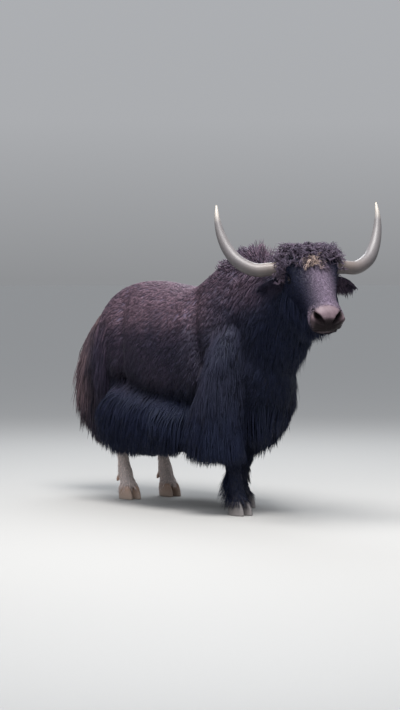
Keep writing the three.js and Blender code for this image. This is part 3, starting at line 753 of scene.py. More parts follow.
def nose_marking_and_sheen(p):
    """1 down the front of the face and further on its left: a paler face with painted sheen where the light
    falls.
    """
    q = to_head(p)
    x, y, z = q.T
    # Painted sheen: the mask reaches further on the left of the face, where the light falls.
    return on_head(q) * bump(x, 0.09, 0.5, 0.03) * bump(y, -0.034, 0.075, 0.032) * bump(z, -0.03, 1, 0.025)


def brown_marking_and_light(p):
    """Strong on the back and fading down the flank as painted light from above; soft ends at shoulder and thigh.
    """
    x, z = p[:, 0], p[:, 2]
    # Painted light: the brown is full on the back and falls to 0.18 of it low on the flank, as light from above
    # would.
    flank = (0.18 + 0.82 * bump(z, 0.975, 3, 0.06)) * bump(z, 0.66, 3, 0.05) * bump(x, -2, 0.30, 0.14)
    crest = 0.6 * bump(z, 1.10, 3, 0.06) * bump(x, 0.1, 0.68, 0.08)
    tail_edge = 0.8 * bump(x, -3, -0.965, 0.03)
    return np.clip(np.max([flank, crest, tail_edge, 0.75 * nose_marking_and_sheen(p)], axis=0), 0, 1)


def pale_marking_and_sheen(p):
    """1 on the hind shanks, a little on the front of the face and the fore toes, and a faint painted sheen on the
    shoulders.
    """
    hind = bump(p[:, 0], -0.85, -0.4, 0.02) * bump(p[:, 2], -0.1, 0.30, 0.02)
    fore = 0.10 * bump(p[:, 0], 0.0, 0.7, 0.02) * bump(p[:, 2], -0.1, 0.085, 0.008)
    # Painted highlight: the shoulders are a little paler, as shiny black hair catches the light there.
    shoulder = 0.010 * bump(p[:, 0], 0.20, 0.62, 0.06) * bump(p[:, 2], 0.62, 1.05, 0.08)
    return np.clip(hind + fore + shoulder + FACE_GREY * nose_marking_and_sheen(p), 0, 1)


def bare_marking(p):
    """1 on the bare skin round the nostrils and lips and inside the nostrils."""
    q = to_head(p)
    x, y, z = q.T
    pad = bump(x + 0.25 * np.minimum(z + 0.03, 0.05) - 0.2 * np.abs(y), 0.412, 1, 0.007)
    lip = 0.85 * bump(distance_to_line(q, mouth), -1, 0.013, 0.003) * (x > 0.33)
    inside = (np.hypot(np.abs(y) - NOSTRIL[1], z - NOSTRIL[2]) < NOSTRIL_BARE) * (x > 0.405)
    return np.clip(np.max([pad, lip, inside], axis=0), 0, 1) * on_head(q)


print("brown at the flank", brown_marking_and_light(np.array([[-0.3, -0.3, 0.9]])).round(2))

# %% [markdown]
# The skin carries its markings as colours on its points, because a material can read those and they survive
# the bake. One colour holds the coat's markings, the other says where the hide is bare and where it is
# dark.

# %% Put the markings on the skin


def colour_attribute(mesh, name, red, green, blue=0.0, alpha=1.0):
    """A named colour on the points of a mesh. Each channel is one number or one for each point."""
    values = np.stack([np.broadcast_to(c, len(mesh.vertices)) for c in (red, green, blue, alpha)], axis=1)
    layer = mesh.attributes.new(name, "FLOAT_COLOR", "POINT")
    layer.data.foreach_set("color", values.astype(np.float32).ravel())


head_slice = np.flatnonzero(skin_owner == "head")
dark = np.zeros(len(skin_points))
# Painted shade in the hollows: the nostrils are near black all through and the groove of the mouth is dark.
dark[head_slice[: nostril_mask.size]] = np.maximum(nostril_mask ** 0.3, mouth_mask * 0.9).ravel()
lid_ring = np.repeat(np.arange(len(LID_RINGS)), len(lids[1][0]) // len(LID_RINGS))
dark[skin_owner == "lid"] = np.tile(np.interp(lid_ring, [0, 3, 8], [0.97, 0.9, 0.2]), len(SIDES))


def lower_muzzle_darkening(p):
    """1 on the lower front of the muzzle, under the nostrils and round the mouth, and less on the chin."""
    q = to_head(p)
    x, y, z = q.T
    # Darker on the lower front of the muzzle, under the nostrils and round the mouth.
    lips = bump(z + 0.10 * np.abs(y), -0.104, -0.008, 0.011) * bump(x, 0.37, 1, 0.02)
    lips = lips * (1 - 0.35 * bump(np.abs(y), 0.068, 1, 0.006))
    chin = 0.4 * bump(z, -0.30, -0.100, 0.006) * bump(x, 0.33, 0.44, 0.02)
    return np.maximum(0.93 * lips, chin) * on_head(q)


dark = np.maximum(dark, lower_muzzle_darkening(skin_points))
on_face = nose_marking_and_sheen(skin_points)
# Painted shade under the coat: the skin takes a low tone and no length of hair, so it is darker than the tufts
# over it; down the front of the face both are raised to match the short hair.
fleece_tone = np.where(skin_owner == "head", 0.1 + 0.35 * on_face, 0.35)
brown, pale = brown_marking_and_light(skin_points), pale_marking_and_sheen(skin_points)
colour_attribute(skin.data, "coat", fleece_tone, 0.4 * on_face, brown, pale)
colour_attribute(skin.data, "bare", bare_marking(skin_points), dark)
print("bare share", bare_marking(skin_points).mean().round(4))

# %% [markdown]
# Particle hair doesn't survive export, so each tuft is a small closed mesh: a bent, tapered blade with
# three sides. Tens of thousands of them are made at once with numpy, which is far faster than adding
# objects. A tuft starts just under the skin, sets off along the lie of the coat, and is then drawn down by
# its weight. Where it would dip into the body it is pushed back out.

# %% The skin as a surface to grow hair on
FIND_REACH = 0.08


class Pelt:
    """Triangles of the skin with their parts, normals and places on the unwrap."""

    def __init__(self, obj):
        mesh = obj.data
        mesh.calc_loop_triangles()
        count = len(mesh.loop_triangles)
        self.tris = np.zeros(count * 3, int)
        loops = np.zeros(count * 3, int)
        mesh.loop_triangles.foreach_get("vertices", self.tris)
        mesh.loop_triangles.foreach_get("loops", loops)
        self.tris = self.tris.reshape(-1, 3)
        uv = np.zeros(len(mesh.loops) * 2)
        mesh.uv_layers["OFBake"].data.foreach_get("uv", uv)
        self.uv = uv.reshape(-1, 2)[loops].reshape(-1, 3, 2)
        normals = np.zeros(len(mesh.vertices) * 3)
        mesh.vertices.foreach_get("normal", normals)
        self.normals = normals.reshape(-1, 3)
        corners = skin_points[self.tris]
        self.middle = corners.mean(1)
        one_edge, other_edge = corners[:, 1] - corners[:, 0], corners[:, 2] - corners[:, 0]
        self.area = np.linalg.norm(np.cross(one_edge, other_edge), axis=1) / 2
        self.owner = skin_owner[self.tris[:, 0]]
        self.tree = BVHTree.FromPolygons(skin_points.tolist(), self.tris.tolist())

    def scatter(self, weight, spacing, rng):
        """Roots spread over the triangles, about one for each square of that spacing where the weight is 1."""
        expected = self.area * weight / spacing ** 2 * DENSITY
        per = rng.poisson(expected)
        chosen = np.repeat(np.arange(len(per)), per)
        r1, r2 = rng.random(len(chosen)), rng.random(len(chosen))
        flip = r1 + r2 > 1
        r1, r2 = np.where(flip, 1 - r1, r1), np.where(flip, 1 - r2, r2)
        share = np.stack([1 - r1 - r2, r1, r2], axis=1)[..., None]
        ids = self.tris[chosen]
        return {
            "at": (skin_points[ids] * share).sum(1),
            "normal": unit((self.normals[ids] * share).sum(1)),
            "uv": (self.uv[chosen] * share).sum(1),
        }

    def push_out(self, points, clear):
        """Moves points that are inside the body, or nearer to it than clear, out to that distance."""
        moved = points.copy()
        for i, (p, c) in enumerate(zip(points, clear)):
            near, normal = self.tree.find_nearest(p, FIND_REACH)[:2]
            if near is None:
                continue
            height = sum((p[k] - near[k]) * normal[k] for k in range(3))
            if height < c:
                moved[i] = p + np.array(normal) * (c - height)
        return moved


pelt = Pelt(skin)
print("pelt", len(pelt.tris), "triangles,", round(float(pelt.area.sum()), 2), "square metres")

# %% [markdown]
# Neighbouring hairs hold together in locks. After the tufts are bent, each one leans towards the nearest of
# a few leading tufts, most at its tip. That gives long hair its pointed locks and short hair its slight
# tousle.

# %% Grow the tufts
DOWN = np.array([0.0, 0.0, -1.0])


def lie_of(roots, direction):
    """The direction laid flat on the skin at each root."""
    normal = roots["normal"]
    direction = np.broadcast_to(direction, normal.shape)
    return unit(direction - normal * (direction * normal).sum(1, keepdims=True))


def grow(roots, rng, length, lie, lift=0.2, weight=0.5, wave=0.1, rings=3, clear=0.006, locks=0, hold=0.5,
         depth=0.004):
    """Centre lines of the tufts, one row of points from root to tip for each.

    Lift is how far they stand off the skin, weight how much they droop, and clear the gap kept to the body.
    With locks, one tuft in that many leads the others, and hold says how closely they follow it.
    """
    count = len(roots["at"])
    length = np.broadcast_to(length, count)[:, None]
    lift = np.broadcast_to(lift, count)[:, None]
    weight = np.broadcast_to(weight, count)[:, None]
    heading = unit(lie * (1 - lift) + roots["normal"] * lift)
    lines = [roots["at"] - roots["normal"] * depth]
    sway = rng.normal(0, wave, (count, 3))
    for k in range(rings):
        share = (k + 1) / rings
        pull = np.clip(weight * share, 0, 1)
        heading = unit(heading * (1 - pull) + DOWN * pull + sway * 0.5 + rng.normal(0, wave / 2, (count, 3)))
        step = lines[-1] + heading * length / rings
        lines.append(pelt.push_out(step, np.full(count, clear) * min(1, 0.5 + share)))
    lines = np.stack(lines, axis=1)
    if locks:
        leaders = rng.choice(count, max(1, count // locks), replace=False)
        lead = leaders[nearest(roots["at"], roots["at"][leaders])]
        share = (np.arange(rings + 1) / rings) ** 1.5 * hold
        lines = lines + (lines[lead] - lines) * share[None, :, None]
    return lines


TWIST = 0.2


def above(value, least, soft):
    """The value kept over the least one, bending towards it over the last stretch."""
    near = (value - least) / soft
    return np.where(near < 1, least + soft * np.exp(np.minimum(near - 1, 0)), value)


def keep_in(lines):
    """Bends the outermost hair back at the rear, the sides and the floor, so that the coat stays within a few
    millimetres of the measured animal's box.
    """
    low, high = np.array(cad_low) - ORIGIN, np.array(cad_high) - ORIGIN
    kept = lines.copy()
    kept[..., 0] = above(kept[..., 0], low[0] - 0.008, 0.03)
    kept[..., 1] = above(kept[..., 1], low[1] - 0.006, 0.036)
    kept[..., 1] = -above(-kept[..., 1], -high[1] - 0.006, 0.036)
    kept[..., 2] = above(kept[..., 2], 0.003, 0.02)
    return kept


def blades(lines, normals, width, rng, flat=0.34, taper=0.7):
    """Points and triangles of closed three-sided blades along the lines, with their flat side to the skin."""
    count, stations = lines.shape[:2]
    rings = stations - 1
    share = np.arange(rings) / rings
    profile = np.minimum(1, 0.65 + 1.6 * share) * (1 - share) ** taper
    along = unit(np.gradient(lines, axis=1))[:, :rings]
    twist = rng.normal(0, TWIST, (count, 1, 3))
    side = unit(np.cross(along, normals[:, None] + twist))
    out = np.cross(side, along)
    half = (np.broadcast_to(width, count)[:, None] * profile / 2)[..., None]
    corners = [side * half, out * half * flat * 2, -side * half]
    body = np.stack([lines[:, :rings] + c for c in corners], axis=2)
    points = np.concatenate([body.reshape(count, rings * 3, 3), lines[:, -1:]], axis=1)
    tris = [(0, 2, 1)]
    for r in range(rings - 1):
        for j in range(3):
            a, b = r * 3 + j, r * 3 + (j + 1) % 3
            tris += [(a, b, b + 3), (a, b + 3, a + 3)]
    top = (rings - 1) * 3
    tris += [(top + j, top + (j + 1) % 3, rings * 3) for j in range(3)]
    tris = np.array(tris)
    all_tris = tris[None] + (np.arange(count) * (rings * 3 + 1))[:, None, None]
    return points, all_tris.reshape(-1, 3), np.append(np.repeat(share, 3), 1.0)


test_line = np.cumsum(np.ones((1, 4, 3)), axis=1)
test_tris = blades(test_line, np.array([UP]), 0.01, np.random.default_rng(1))[1]
print("triangles in a tuft of 3 rings", len(test_tris))

# %% [markdown]
# A coat piece is one mesh of many tufts. Every tuft takes its markings from the skin at its root, so hair
# and hide change colour together, and it gets a tone of its own, so no two neighbours are quite alike.

# %% Make a coat piece from tufts
UV_PATCH = 0.003


def coat_piece(name, roots, lines, width, rng, slot, tint=None, flat=0.34, taper=0.7):
    points, tris, along = blades(keep_in(lines), roots["normal"], width, rng, flat, taper)
    count, per = points.shape[:2]
    mesh = bpy.data.meshes.new(name)
    flat_points = points.reshape(-1, 3)
    mesh.vertices.add(len(flat_points))
    mesh.vertices.foreach_set("co", (flat_points + ORIGIN).astype(np.float32).ravel())
    mesh.loops.add(len(tris) * 3)
    mesh.loops.foreach_set("vertex_index", tris.astype(np.int32).ravel())
    mesh.polygons.add(len(tris))
    mesh.polygons.foreach_set("loop_start", np.arange(0, len(tris) * 3, 3, dtype=np.int32))
    mesh.polygons.foreach_set("use_smooth", np.ones(len(tris), bool))
    mesh.update(calc_edges=True)
    tone = np.repeat(rng.random(count), per)
    brown, pale = brown_marking_and_light(roots["at"]), pale_marking_and_sheen(roots["at"])
    if tint is not None:
        brown, pale = tint(roots, brown, pale, rng)
    colour_attribute(mesh, "coat", tone, np.tile(along, count), np.repeat(brown, per), np.repeat(pale, per))
    corner = np.tile(np.append(np.tile([-0.5, 0.0, 0.5], lines.shape[1] - 1), 0.0), count)
    patch = np.stack([corner, np.tile(along - 0.5, count)], axis=1) * UV_PATCH
    uv = np.repeat(roots["uv"], per, axis=0) + patch
    layer = mesh.uv_layers.new(name="OFBake")
    layer.data.foreach_set("uv", uv[tris.ravel()].astype(np.float32).ravel())
    obj = add_object(name, mesh)
    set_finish(obj, slot)
    coats.append(obj)
    print(name, count, "tufts,", len(tris), "triangles")


coats = []

# %% [markdown]
# The short coat of the back, flank, hump and neck lies back and down. It is about five centimetres long on
# the back, longer low on the flank, and longest under the neck.

# %% Short coat of the trunk
owner, middle = pelt.owner, pelt.middle
random = np.random.default_rng(12)


def within(names):
    return np.isin(owner, names).astype(float)


def split_piece(name, roots, lines, width, slot="black_coat", parts=1, **more):
    """One kind of coat cut into several pieces from back to front, so that none is too heavy."""
    order = np.argsort(roots["at"][:, 0])
    for number, chosen in enumerate(np.array_split(order, parts)):
        picked = {key: value[chosen] for key, value in roots.items()}
        label = name if parts == 1 else f"{name}_{number + 1}"
        coat_piece(label, picked, lines[chosen], width, random, slot, **more)


upper = bump(middle[:, 2], 0.60, 3, 0.02)
roots = pelt.scatter(within(["trunk"]) * upper, 0.0088, random)
p = roots["at"]
count = len(p)
low = np.clip((0.92 - p[:, 2]) / 0.3, 0, 1)
length = (0.050 + 0.035 * low) * random.uniform(0.75, 1.2, count)
lie = lie_of(roots, np.array([-0.6, 0, -0.8]))
lines = grow(roots, random, length, lie, lift=0.07, weight=0.2, wave=0.12, rings=2, clear=0.005,
             locks=9, hold=0.4)
split_piece("short_coat", roots, lines, 0.0068, parts=2)

# %% [markdown]
# The neck's coat runs on from the trunk's, and hangs longer towards the throat.

# %% Coat of the neck
roots = pelt.scatter(within(["neck"]), 0.0091, random)
p = roots["at"]
under = np.clip((1.04 - p[:, 2]) / 0.2, 0, 1)
lie = lie_of(roots, np.array([-0.4, 0, -0.92]))
length = (0.065 + 0.075 * under) * random.uniform(0.75, 1.2, len(p))
lines = grow(roots, random, length, lie, lift=0.14, weight=0.3, wave=0.13, rings=3, clear=0.006,
             locks=12, hold=0.45)
split_piece("neck_coat", roots, lines, 0.0072)

# %% [markdown]
# A ragged tuft stands on the top of the hump, where the hair of both shoulders meets.

# %% Tuft on the hump
crest = bump(middle[:, 2], 1.26, 3, 0.02) * bump(middle[:, 0], 0.28, 0.80, 0.03) * within(["trunk", "neck"])
roots = pelt.scatter(crest, 0.010, random)
p = roots["at"]
tall = bump(p[:, 0], 0.46, 0.76, 0.04)
length = (0.05 + 0.055 * tall) * random.uniform(0.6, 1.15, len(p))
lie = lie_of(roots, np.array([-0.7, 0.25, 0.1]))
lines = grow(roots, random, length, lie, lift=0.42, weight=0.05, wave=0.3, rings=4, clear=0.006,
             locks=7, hold=0.6)
split_piece("hump_tuft", roots, lines, 0.0075)

# %% [markdown]
# The long skirt hangs from the flank, shoulder, chest and thigh. Its hair is smooth and heavy: it follows
# the swell it grows on, then falls straight. The hem isn't level: it rises towards the tail and towards the
# front of the chest, so the whole skirt ends in a soft, round line. It is given as heights across the
# photo's view, which is turned 55 degrees from a plain side view towards the front.

# %% The hem of the skirt
VIEW_FORWARD, VIEW_SIDE = 0.5736, 0.819
REAR_HEM = ([-0.75, -0.728, -0.654, -0.586, -0.512, -0.42, -0.30], [0.44, 0.41, 0.31, 0.25, 0.215, 0.235, 0.25])
FRONT_HEM = ([0.0, 0.20, 0.307, 0.346, 0.406, 0.4265, 0.468], [0.262, 0.265, 0.29, 0.33, 0.41, 0.47, 0.60])


def hem_height(p):
    reach = VIEW_FORWARD * p[:, 0]
    across = reach - VIEW_SIDE * np.abs(p[:, 1])
    rear = np.interp(across, *REAR_HEM)
    front = np.interp(reach + VIEW_SIDE * p[:, 1], *FRONT_HEM)
    notch = 0.05 * np.exp(-(((across + 0.128) / 0.024) ** 2))
    return np.maximum(rear, front) + notch + 0.012 * np.sin(8 * p[:, 0] + 1.2)


def long_coat(name, weight, spacing, least, most, lie_direction, width=0.0085, lift=0.09, slot="black_coat"):
    roots = pelt.scatter(weight, spacing, random)
    p = roots["at"]
    room = p[:, 2] - hem_height(p)
    kept = room > least * 0.35
    roots = {key: value[kept] for key, value in roots.items()}
    count = int(kept.sum())
    length = np.clip(room[kept] * 1.04, least * 0.6, most) * random.uniform(0.82, 1.08, count)
    length *= 0.45 + 0.55 * np.clip((0.96 - p[kept, 2]) / 0.26, 0, 1)
    lie = lie_of(roots, np.array(lie_direction))
    lines = grow(roots, random, length, lie, lift=lift, weight=0.5, wave=0.075, rings=5, clear=0.006, locks=14,
                 hold=0.4)
    split_piece(name, roots, lines, width, slot)


print("hem under the belly", hem_height(np.array([[0.0, -0.3, 0.5]])).round(3))

# %% [markdown]
# The skirt grows in six pieces: thigh, belly, and a flank and a shoulder on each side.

# %% Long coat of the skirt
rear = bump(middle[:, 0], -3, -0.58, 0.02)
thigh = within(["trunk"]) * rear * bump(middle[:, 2], 0.2, 0.92, 0.06)
belly = within(["trunk"]) * (1 - rear) * (1 - upper)
long_coat("thigh_coat", thigh, 0.0115, 0.10, 0.27, (-0.1, 0, -1))
long_coat("belly_coat", belly, 0.0125, 0.10, 0.26, (-0.1, 0, -1))
for side in SIDES:
    long_coat(f"flank_{side}_coat", within([f"flank_{side}"]), 0.0119, 0.08, 0.20, (-0.12, 0, -1))
    long_coat(f"shoulder_{side}_coat", within([f"shoulder_{side}"]), 0.0102, 0.08, 0.21, (-0.10, 0, -1))

# %% [markdown]
# The tail is a brush from root to tip. Its long hair falls round the dock, and the outer hairs are
# bleached.

# %% Tail
long_coat("tail_coat", within(["tail"]), 0.0098, 0.10, 0.26, (-0.04, 0, -1), width=0.009, lift=0.12,
          slot="brown_coat")

# %% [markdown]
# Leg hair is short and close. Longer hair hides the back of the knee and of each fore fetlock, and a crown
# of it hangs over the top of every hoof.

# %% Legs
fore_names = [n for n in FEET if n.startswith("fore")]
hind_names = [n for n in FEET if n.startswith("hind")]
low = bump(middle[:, 2], 0.07, 0.5, 0.004)
for label, names, slot in (("fore", fore_names, "black_coat"), ("hind", hind_names, "shank_coat")):
    roots = pelt.scatter(within(names) * low, 0.0062, random)
    p = roots["at"]
    back = bump(roots["normal"][:, 0], -2, 0.15, 0.25)
    feather = bump(p[:, 2], 0.085, 0.24, 0.02) * back
    crown = bump(p[:, 2], 0.0, 0.105, 0.012)
    upper_leg = np.clip((p[:, 2] - 0.24) / 0.12, 0, 1)
    if label == "fore":
        length = 0.022 + 0.080 * feather + 0.07 * upper_leg + 0.050 * crown
        lift = 0.12 + 0.36 * feather + 0.24 * crown * (1 - feather)
    else:
        length = 0.012 + 0.022 * feather + 0.04 * upper_leg + 0.034 * crown
        lift = 0.10 + 0.1 * feather + 0.20 * crown
    length = np.minimum(length, p[:, 2] - 0.02)
    lie = lie_of(roots, np.array([0, 0, -1.0]))
    lines = grow(roots, random, length * random.uniform(0.7, 1.2, len(p)), lie, lift=lift, weight=0.22, wave=0.1,
                 rings=2, clear=0.002, locks=6, hold=0.35)
    split_piece(f"{label}leg_coat", roots, lines, 0.0042, slot)

# %% [markdown]
# The forelock is a mop of ringlets over the poll and brow. A ringlet is a lock that grows as the others do
# and is then wound round its own middle line. A few in the middle are bleached tan.

# %% Forelock


def curled(lines, rng, size, turns):
    """Winds each centre line round itself. It starts straight at the root."""
    count, stations = lines.shape[:2]
    share = np.linspace(0, 1, stations)[None, :, None]
    along = unit(np.gradient(lines, axis=1))
    side = unit(np.cross(along, rng.normal(0, 1, (count, 1, 3))))
    other = np.cross(along, side)
    sense = rng.choice([-1, 1], (count, 1, 1))
    spin = sense * 2 * np.pi * turns[:, None, None] * share + rng.uniform(0, 2 * np.pi, (count, 1, 1))
    reach = size[:, None, None] * np.minimum(1, share * 4)
    return lines + reach * (side * np.cos(spin) + other * np.sin(spin))


def finer(lines, rings):
    """The same lines on a smooth curve with more stations."""
    count, stations = lines.shape[:2]
    rows = lines.transpose(1, 0, 2).reshape(stations, -1)
    return blend_rows(rows, np.linspace(0, 1, rings + 1)).reshape(rings + 1, count, 3).transpose(1, 0, 2)


def forelock_tint(roots, brown, pale, rng):
    q = to_head(roots["at"])
    near = np.exp(-(((q[:, 0] - 0.060) / 0.027) ** 2 + ((q[:, 1] + 0.002) / 0.034) ** 2))
    return np.full(len(q), 0.48), 0.62 * np.clip(near * 2.2 - 0.5, 0, 1) * rng.uniform(0.5, 1, len(q))


head_weight = within(["head"])
place = forelock_place(to_head(middle)) * head_weight


def copies(roots, number, apart, rng):
    """Each root repeated, the repeats set a little apart on the skin."""
    many = {key: np.repeat(value, number, axis=0) for key, value in roots.items()}
    nudge = rng.normal(0, apart, many["at"].shape)
    many["at"] = many["at"] + nudge - many["normal"] * (nudge * many["normal"]).sum(1, keepdims=True)
    return many


STRANDS = 4
FORELOCK_TOP = 1.385
roots = pelt.scatter(place, 0.0136, random)
p = to_head(roots["at"])
count = len(p)
brow = np.clip((p[:, 0] - 0.02) / 0.05, 0, 1)
ahead = np.array([0.9, 0, -0.1]) * brow[:, None] + np.array([0.3, 0, 0.0]) * (1 - brow[:, None])
ahead = ahead + np.array([0, 1.0, 0]) * (p[:, 1:2] / 0.12) * (0.5 + 0.9 * np.abs(p[:, 1:2]) / 0.12)
lie = lie_of(roots, ahead @ HEAD_AXES.T)
wide = np.clip((np.abs(p[:, 1]) - 0.05) / 0.05, 0, 1)
lines = grow(roots, random, random.uniform(0.045, 0.080, count), lie, lift=0.26 + 0.24 * wide,
             weight=0.30 - 0.12 * wide, wave=0.26, rings=5, clear=0.009)
lines[..., 2] = -above(-lines[..., 2], -FORELOCK_TOP, 0.03)
lines = finer(lines, 14)
lines = curled(lines, random, random.uniform(0.006, 0.0115, count), random.uniform(0.8, 1.7, count))
strands = copies(roots, STRANDS, 0.0034, random)
moved = strands["at"] - np.repeat(roots["at"], STRANDS, axis=0)
spread = random.normal(0, 0.0022, (count * STRANDS, 1, 3)) + moved[:, None]
ends = 0.4 + 0.6 * np.linspace(0, 1, lines.shape[1])[None, :, None]
lines = np.repeat(lines, STRANDS, axis=0) + spread * ends
split_piece("forelock", strands, lines, 0.0044, tint=forelock_tint, flat=0.5, taper=0.5)

# %% [markdown]
# Short fuzz between the ringlets hides the cushion they stand on.

# %% Fuzz under the forelock
roots = pelt.scatter(place, 0.0065, random)
lie = lie_of(roots, np.array([0.5, 0, -1.0]))
lines = grow(roots, random, 0.022, lie, lift=0.45, weight=0.1, wave=0.35, rings=2, clear=0.002, locks=4,
             hold=0.5)
split_piece("forelock_fuzz", roots, lines, 0.0060, tint=forelock_tint)

# %% [markdown]
# The face has the shortest hair of all, lying down the nose and back over the cheeks. It stops at the bare
# skin of the muzzle and round the open eye.

# %% Face


def face_tint(roots, brown, pale, rng):
    """Next to the nose the hair is as pale as the hide it borders."""
    q = to_head(roots["at"])
    near = bump(q[:, 0], 0.372, 1, 0.02) * bump(q[:, 2], -0.075, 1, 0.015)
    return np.maximum(brown, 0.8 * near), np.maximum(pale, 0.10 * near)


EYE_BARE = 0.0215
q = to_head(middle)
bare = bare_marking(middle)
eye_gap = np.hypot(q[:, 0] - EYE_PLACE[0], q[:, 2] - EYE_PLACE[2])
open_face = (head_weight + within(["lid"])) * (1 - place) * (1 - bare) * (eye_gap > EYE_BARE)
jaw = bump(q[:, 2], -1, -0.105, 0.012) * bump(q[:, 0], -0.1, 0.34, 0.02)
roots = pelt.scatter(open_face * (1 - 0.8 * jaw), 0.00385, random)
p = to_head(roots["at"])
towards_nose = np.clip((p[:, 0] - 0.05) / 0.1, 0, 1)[:, None]
fall = unit(np.array([0.9, 0, -0.1]) * towards_nose + np.array([-0.25, 0, -0.75]) * (1 - towards_nose))
lie = lie_of(roots, fall @ HEAD_AXES.T)
cheek = np.clip((-0.03 - p[:, 2]) / 0.06, 0, 1) * np.clip((0.28 - p[:, 0]) / 0.1, 0, 1)
muzzle = bump(p[:, 0], 0.37, 1, 0.015)
length = (0.018 + 0.028 * cheek) * random.uniform(0.7, 1.2, len(p)) * (1 - 0.5 * muzzle)
lines = grow(roots, random, length, lie, lift=0.07, weight=0.06, wave=0.07, rings=2, clear=0.0022, locks=5,
             hold=0.3, depth=0.0008)
split_piece("face_coat", roots, lines, 0.0026, "face_coat", tint=face_tint, flat=0.26)

# %% [markdown]
# Under the jaw and on the throat the hair grows long again, into a beard that joins the hair of the neck.

# %% Beard
throat = 0.5 * (q[:, 2] < -0.07) * (q[:, 0] < 0.2)
roots = pelt.scatter(head_weight * np.maximum(jaw, throat) * (1 - bare), 0.0068, random)
p = to_head(roots["at"])
length = (0.035 + 0.115 * bump(p[:, 0], -0.1, 0.27, 0.07)) * random.uniform(0.7, 1.15, len(p))
lie = lie_of(roots, np.array([-0.05, 0, -1.0]))
lines = grow(roots, random, length, lie, lift=0.3, weight=0.5, wave=0.11, rings=4, clear=0.004,
             locks=10, hold=0.45)
split_piece("beard", roots, lines, 0.0066)

# %% [markdown]
# Long straight lashes shade the eye. They stand on the rim of the upper lid in one thick row and hang
# outwards and down, with a shorter, thinner row below.

# %% Lashes
LASH_RING = 2
LASH_ROWS = [(True, 90, 0.017), (False, 50, 0.008)]


def lash_row(side, upper, count, length):
    """Roots and centre lines of one row of lashes, on the upper or the lower lid."""
    rim = lids[side][0].reshape(len(LID_RINGS), -1, 3)[LASH_RING]
    share = np.linspace(0.1, 0.9, count) + random.normal(0, 0.006, count)
    place = (share if upper else 1 - 0.5 * share) * len(rim) * (0.5 if upper else 1.0)
    whole = place.astype(int) % len(rim)
    at = mix(rim[whole], rim[(whole + 1) % len(rim)], (place % 1)[:, None])
    off = unit(at - eye_centre(side))
    drop = np.array([0.25, 0, -0.45 if upper else -0.55])
    steps = np.linspace(0, 1, 4)[None, :, None]
    reach = (length * random.uniform(0.7, 1.1, count))[:, None, None]
    lines = at[:, None] + reach * (steps * off[:, None] + steps ** 2 * 0.5 * drop)
    at = from_head(at)
    roots = {"at": at, "normal": off @ HEAD_AXES.T, "uv": pelt.uv[nearest(at, pelt.middle)].mean(1)}
    return roots, from_head(lines)


rows = [lash_row(side, *row) for side in SIDES.values() for row in LASH_ROWS]
roots = {key: np.concatenate([row[0][key] for row in rows]) for key in ("at", "normal", "uv")}
split_piece("lashes", roots, np.concatenate([row[1] for row in rows]), 0.0009, taper=0.9)

# %% [markdown]
# Fine hair of mixed length covers the ears and hangs from them in a fringe, which softens their edge.

# %% Hair of the ears


def ear_painted_light(roots, brown, pale, rng):
    """Painted light: the left ear, which stands in the light, is painted a little lighter; the right one, in
    shade, is nearly black.
    """
    return np.where(to_head(roots["at"])[:, 1] > 0, 0.3, 0.12), pale


roots = pelt.scatter(within(["ear"]), 0.0048, random)
p = to_head(roots["at"])
out_along = np.sign(p[:, 1:2]) * np.array([[0, 0.8, 0]]) + np.array([[0, 0, -0.5]])
lie = lie_of(roots, out_along @ HEAD_AXES.T)
lines = grow(roots, random, random.uniform(0.015, 0.060, len(p)), lie, lift=0.15, weight=0.75, wave=0.12, rings=3,
             clear=0.0015, locks=7, hold=0.4)
split_piece("ear_coat", roots, lines, 0.0036, tint=ear_painted_light)

# %% [markdown]
# Horns are smooth, hard and slightly ringed near the base. They leave the head level, sweep out, turn up
# and lean back at the tips. The same measured curve as in the CAD model carries a much finer skin here.

# %% Horns
HORN_ROWS = [
    [0.075, 0.006, 0.0, 0.0315], [0.092, 0.004, -0.001, 0.032], [0.182, 0, -0.002, 0.033],
    [0.252, -0.016, -0.004, 0.0335], [0.32, -0.052, 0.034, 0.033], [0.363, -0.094, 0.096, 0.0295],
    [0.390, -0.128, 0.172, 0.0235], [0.402, -0.152, 0.249, 0.015], [0.401, -0.172, 0.312, 0.0055],
    [0.4, -0.1745, 0.321, 0.0012],
]
RIGHT_HORN_REACH = 1.05


def horn(side):
    reach = 1.0 if side > 0 else RIGHT_HORN_REACH
    rows = []
    for out, forward, rise, radius in HORN_ROWS:
        rows.append([*level(out * reach * side, forward, rise), radius, radius, radius])
    loft = Loft(rows, FORWARD)
    steps, sides = 190, 40
    t = np.linspace(0, 1, steps + 1)
    grid = loft.grid(steps, sides)
    centre = loft.path(t)[:, None]
    rings = 0.010 * np.sin(t * 150 + 2 * np.sin(t * 31)) * np.clip(1 - t / 0.42, 0, 1)
    # How much each point faces down, for the painted shade under the horn.
    under = unit(grid - centre) @ HEAD_AXES[2]
    return centre + (grid - centre) * (1 + rings[:, None, None]), t, np.clip(0.5 - 0.9 * under, 0, 1)


def simple_piece(name, points, faces, replaced, slot):
    obj = object_from(name, points + ORIGIN, faces)
    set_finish(obj, slot)
    if replaced:
        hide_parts(*replaced)
    return obj


horns, eyes, claws = [], [], []
for name, side in SIDES.items():
    grid, t, under = horn(side)
    points, faces = closed(from_head(grid))
    obj = simple_piece(f"horn_{name}_fine", points, faces, [f"horn_{name}"], "horn")
    share = np.append(np.repeat(t, grid.shape[1]), [0, 1])
    colour_attribute(obj.data, "grow", share, np.append(under.ravel(), [0.5, 0.5]))
    horns.append(obj)
print("horn tips at", [round(max(v.co.z for v in h.data.vertices), 3) for h in horns])

# %% [markdown]
# An eye is a dark, wet ball. The pupil of a yak is a wide, level slot in a deep brown iris, and the ball is
# glossy enough to catch the light.

# %% Eyes


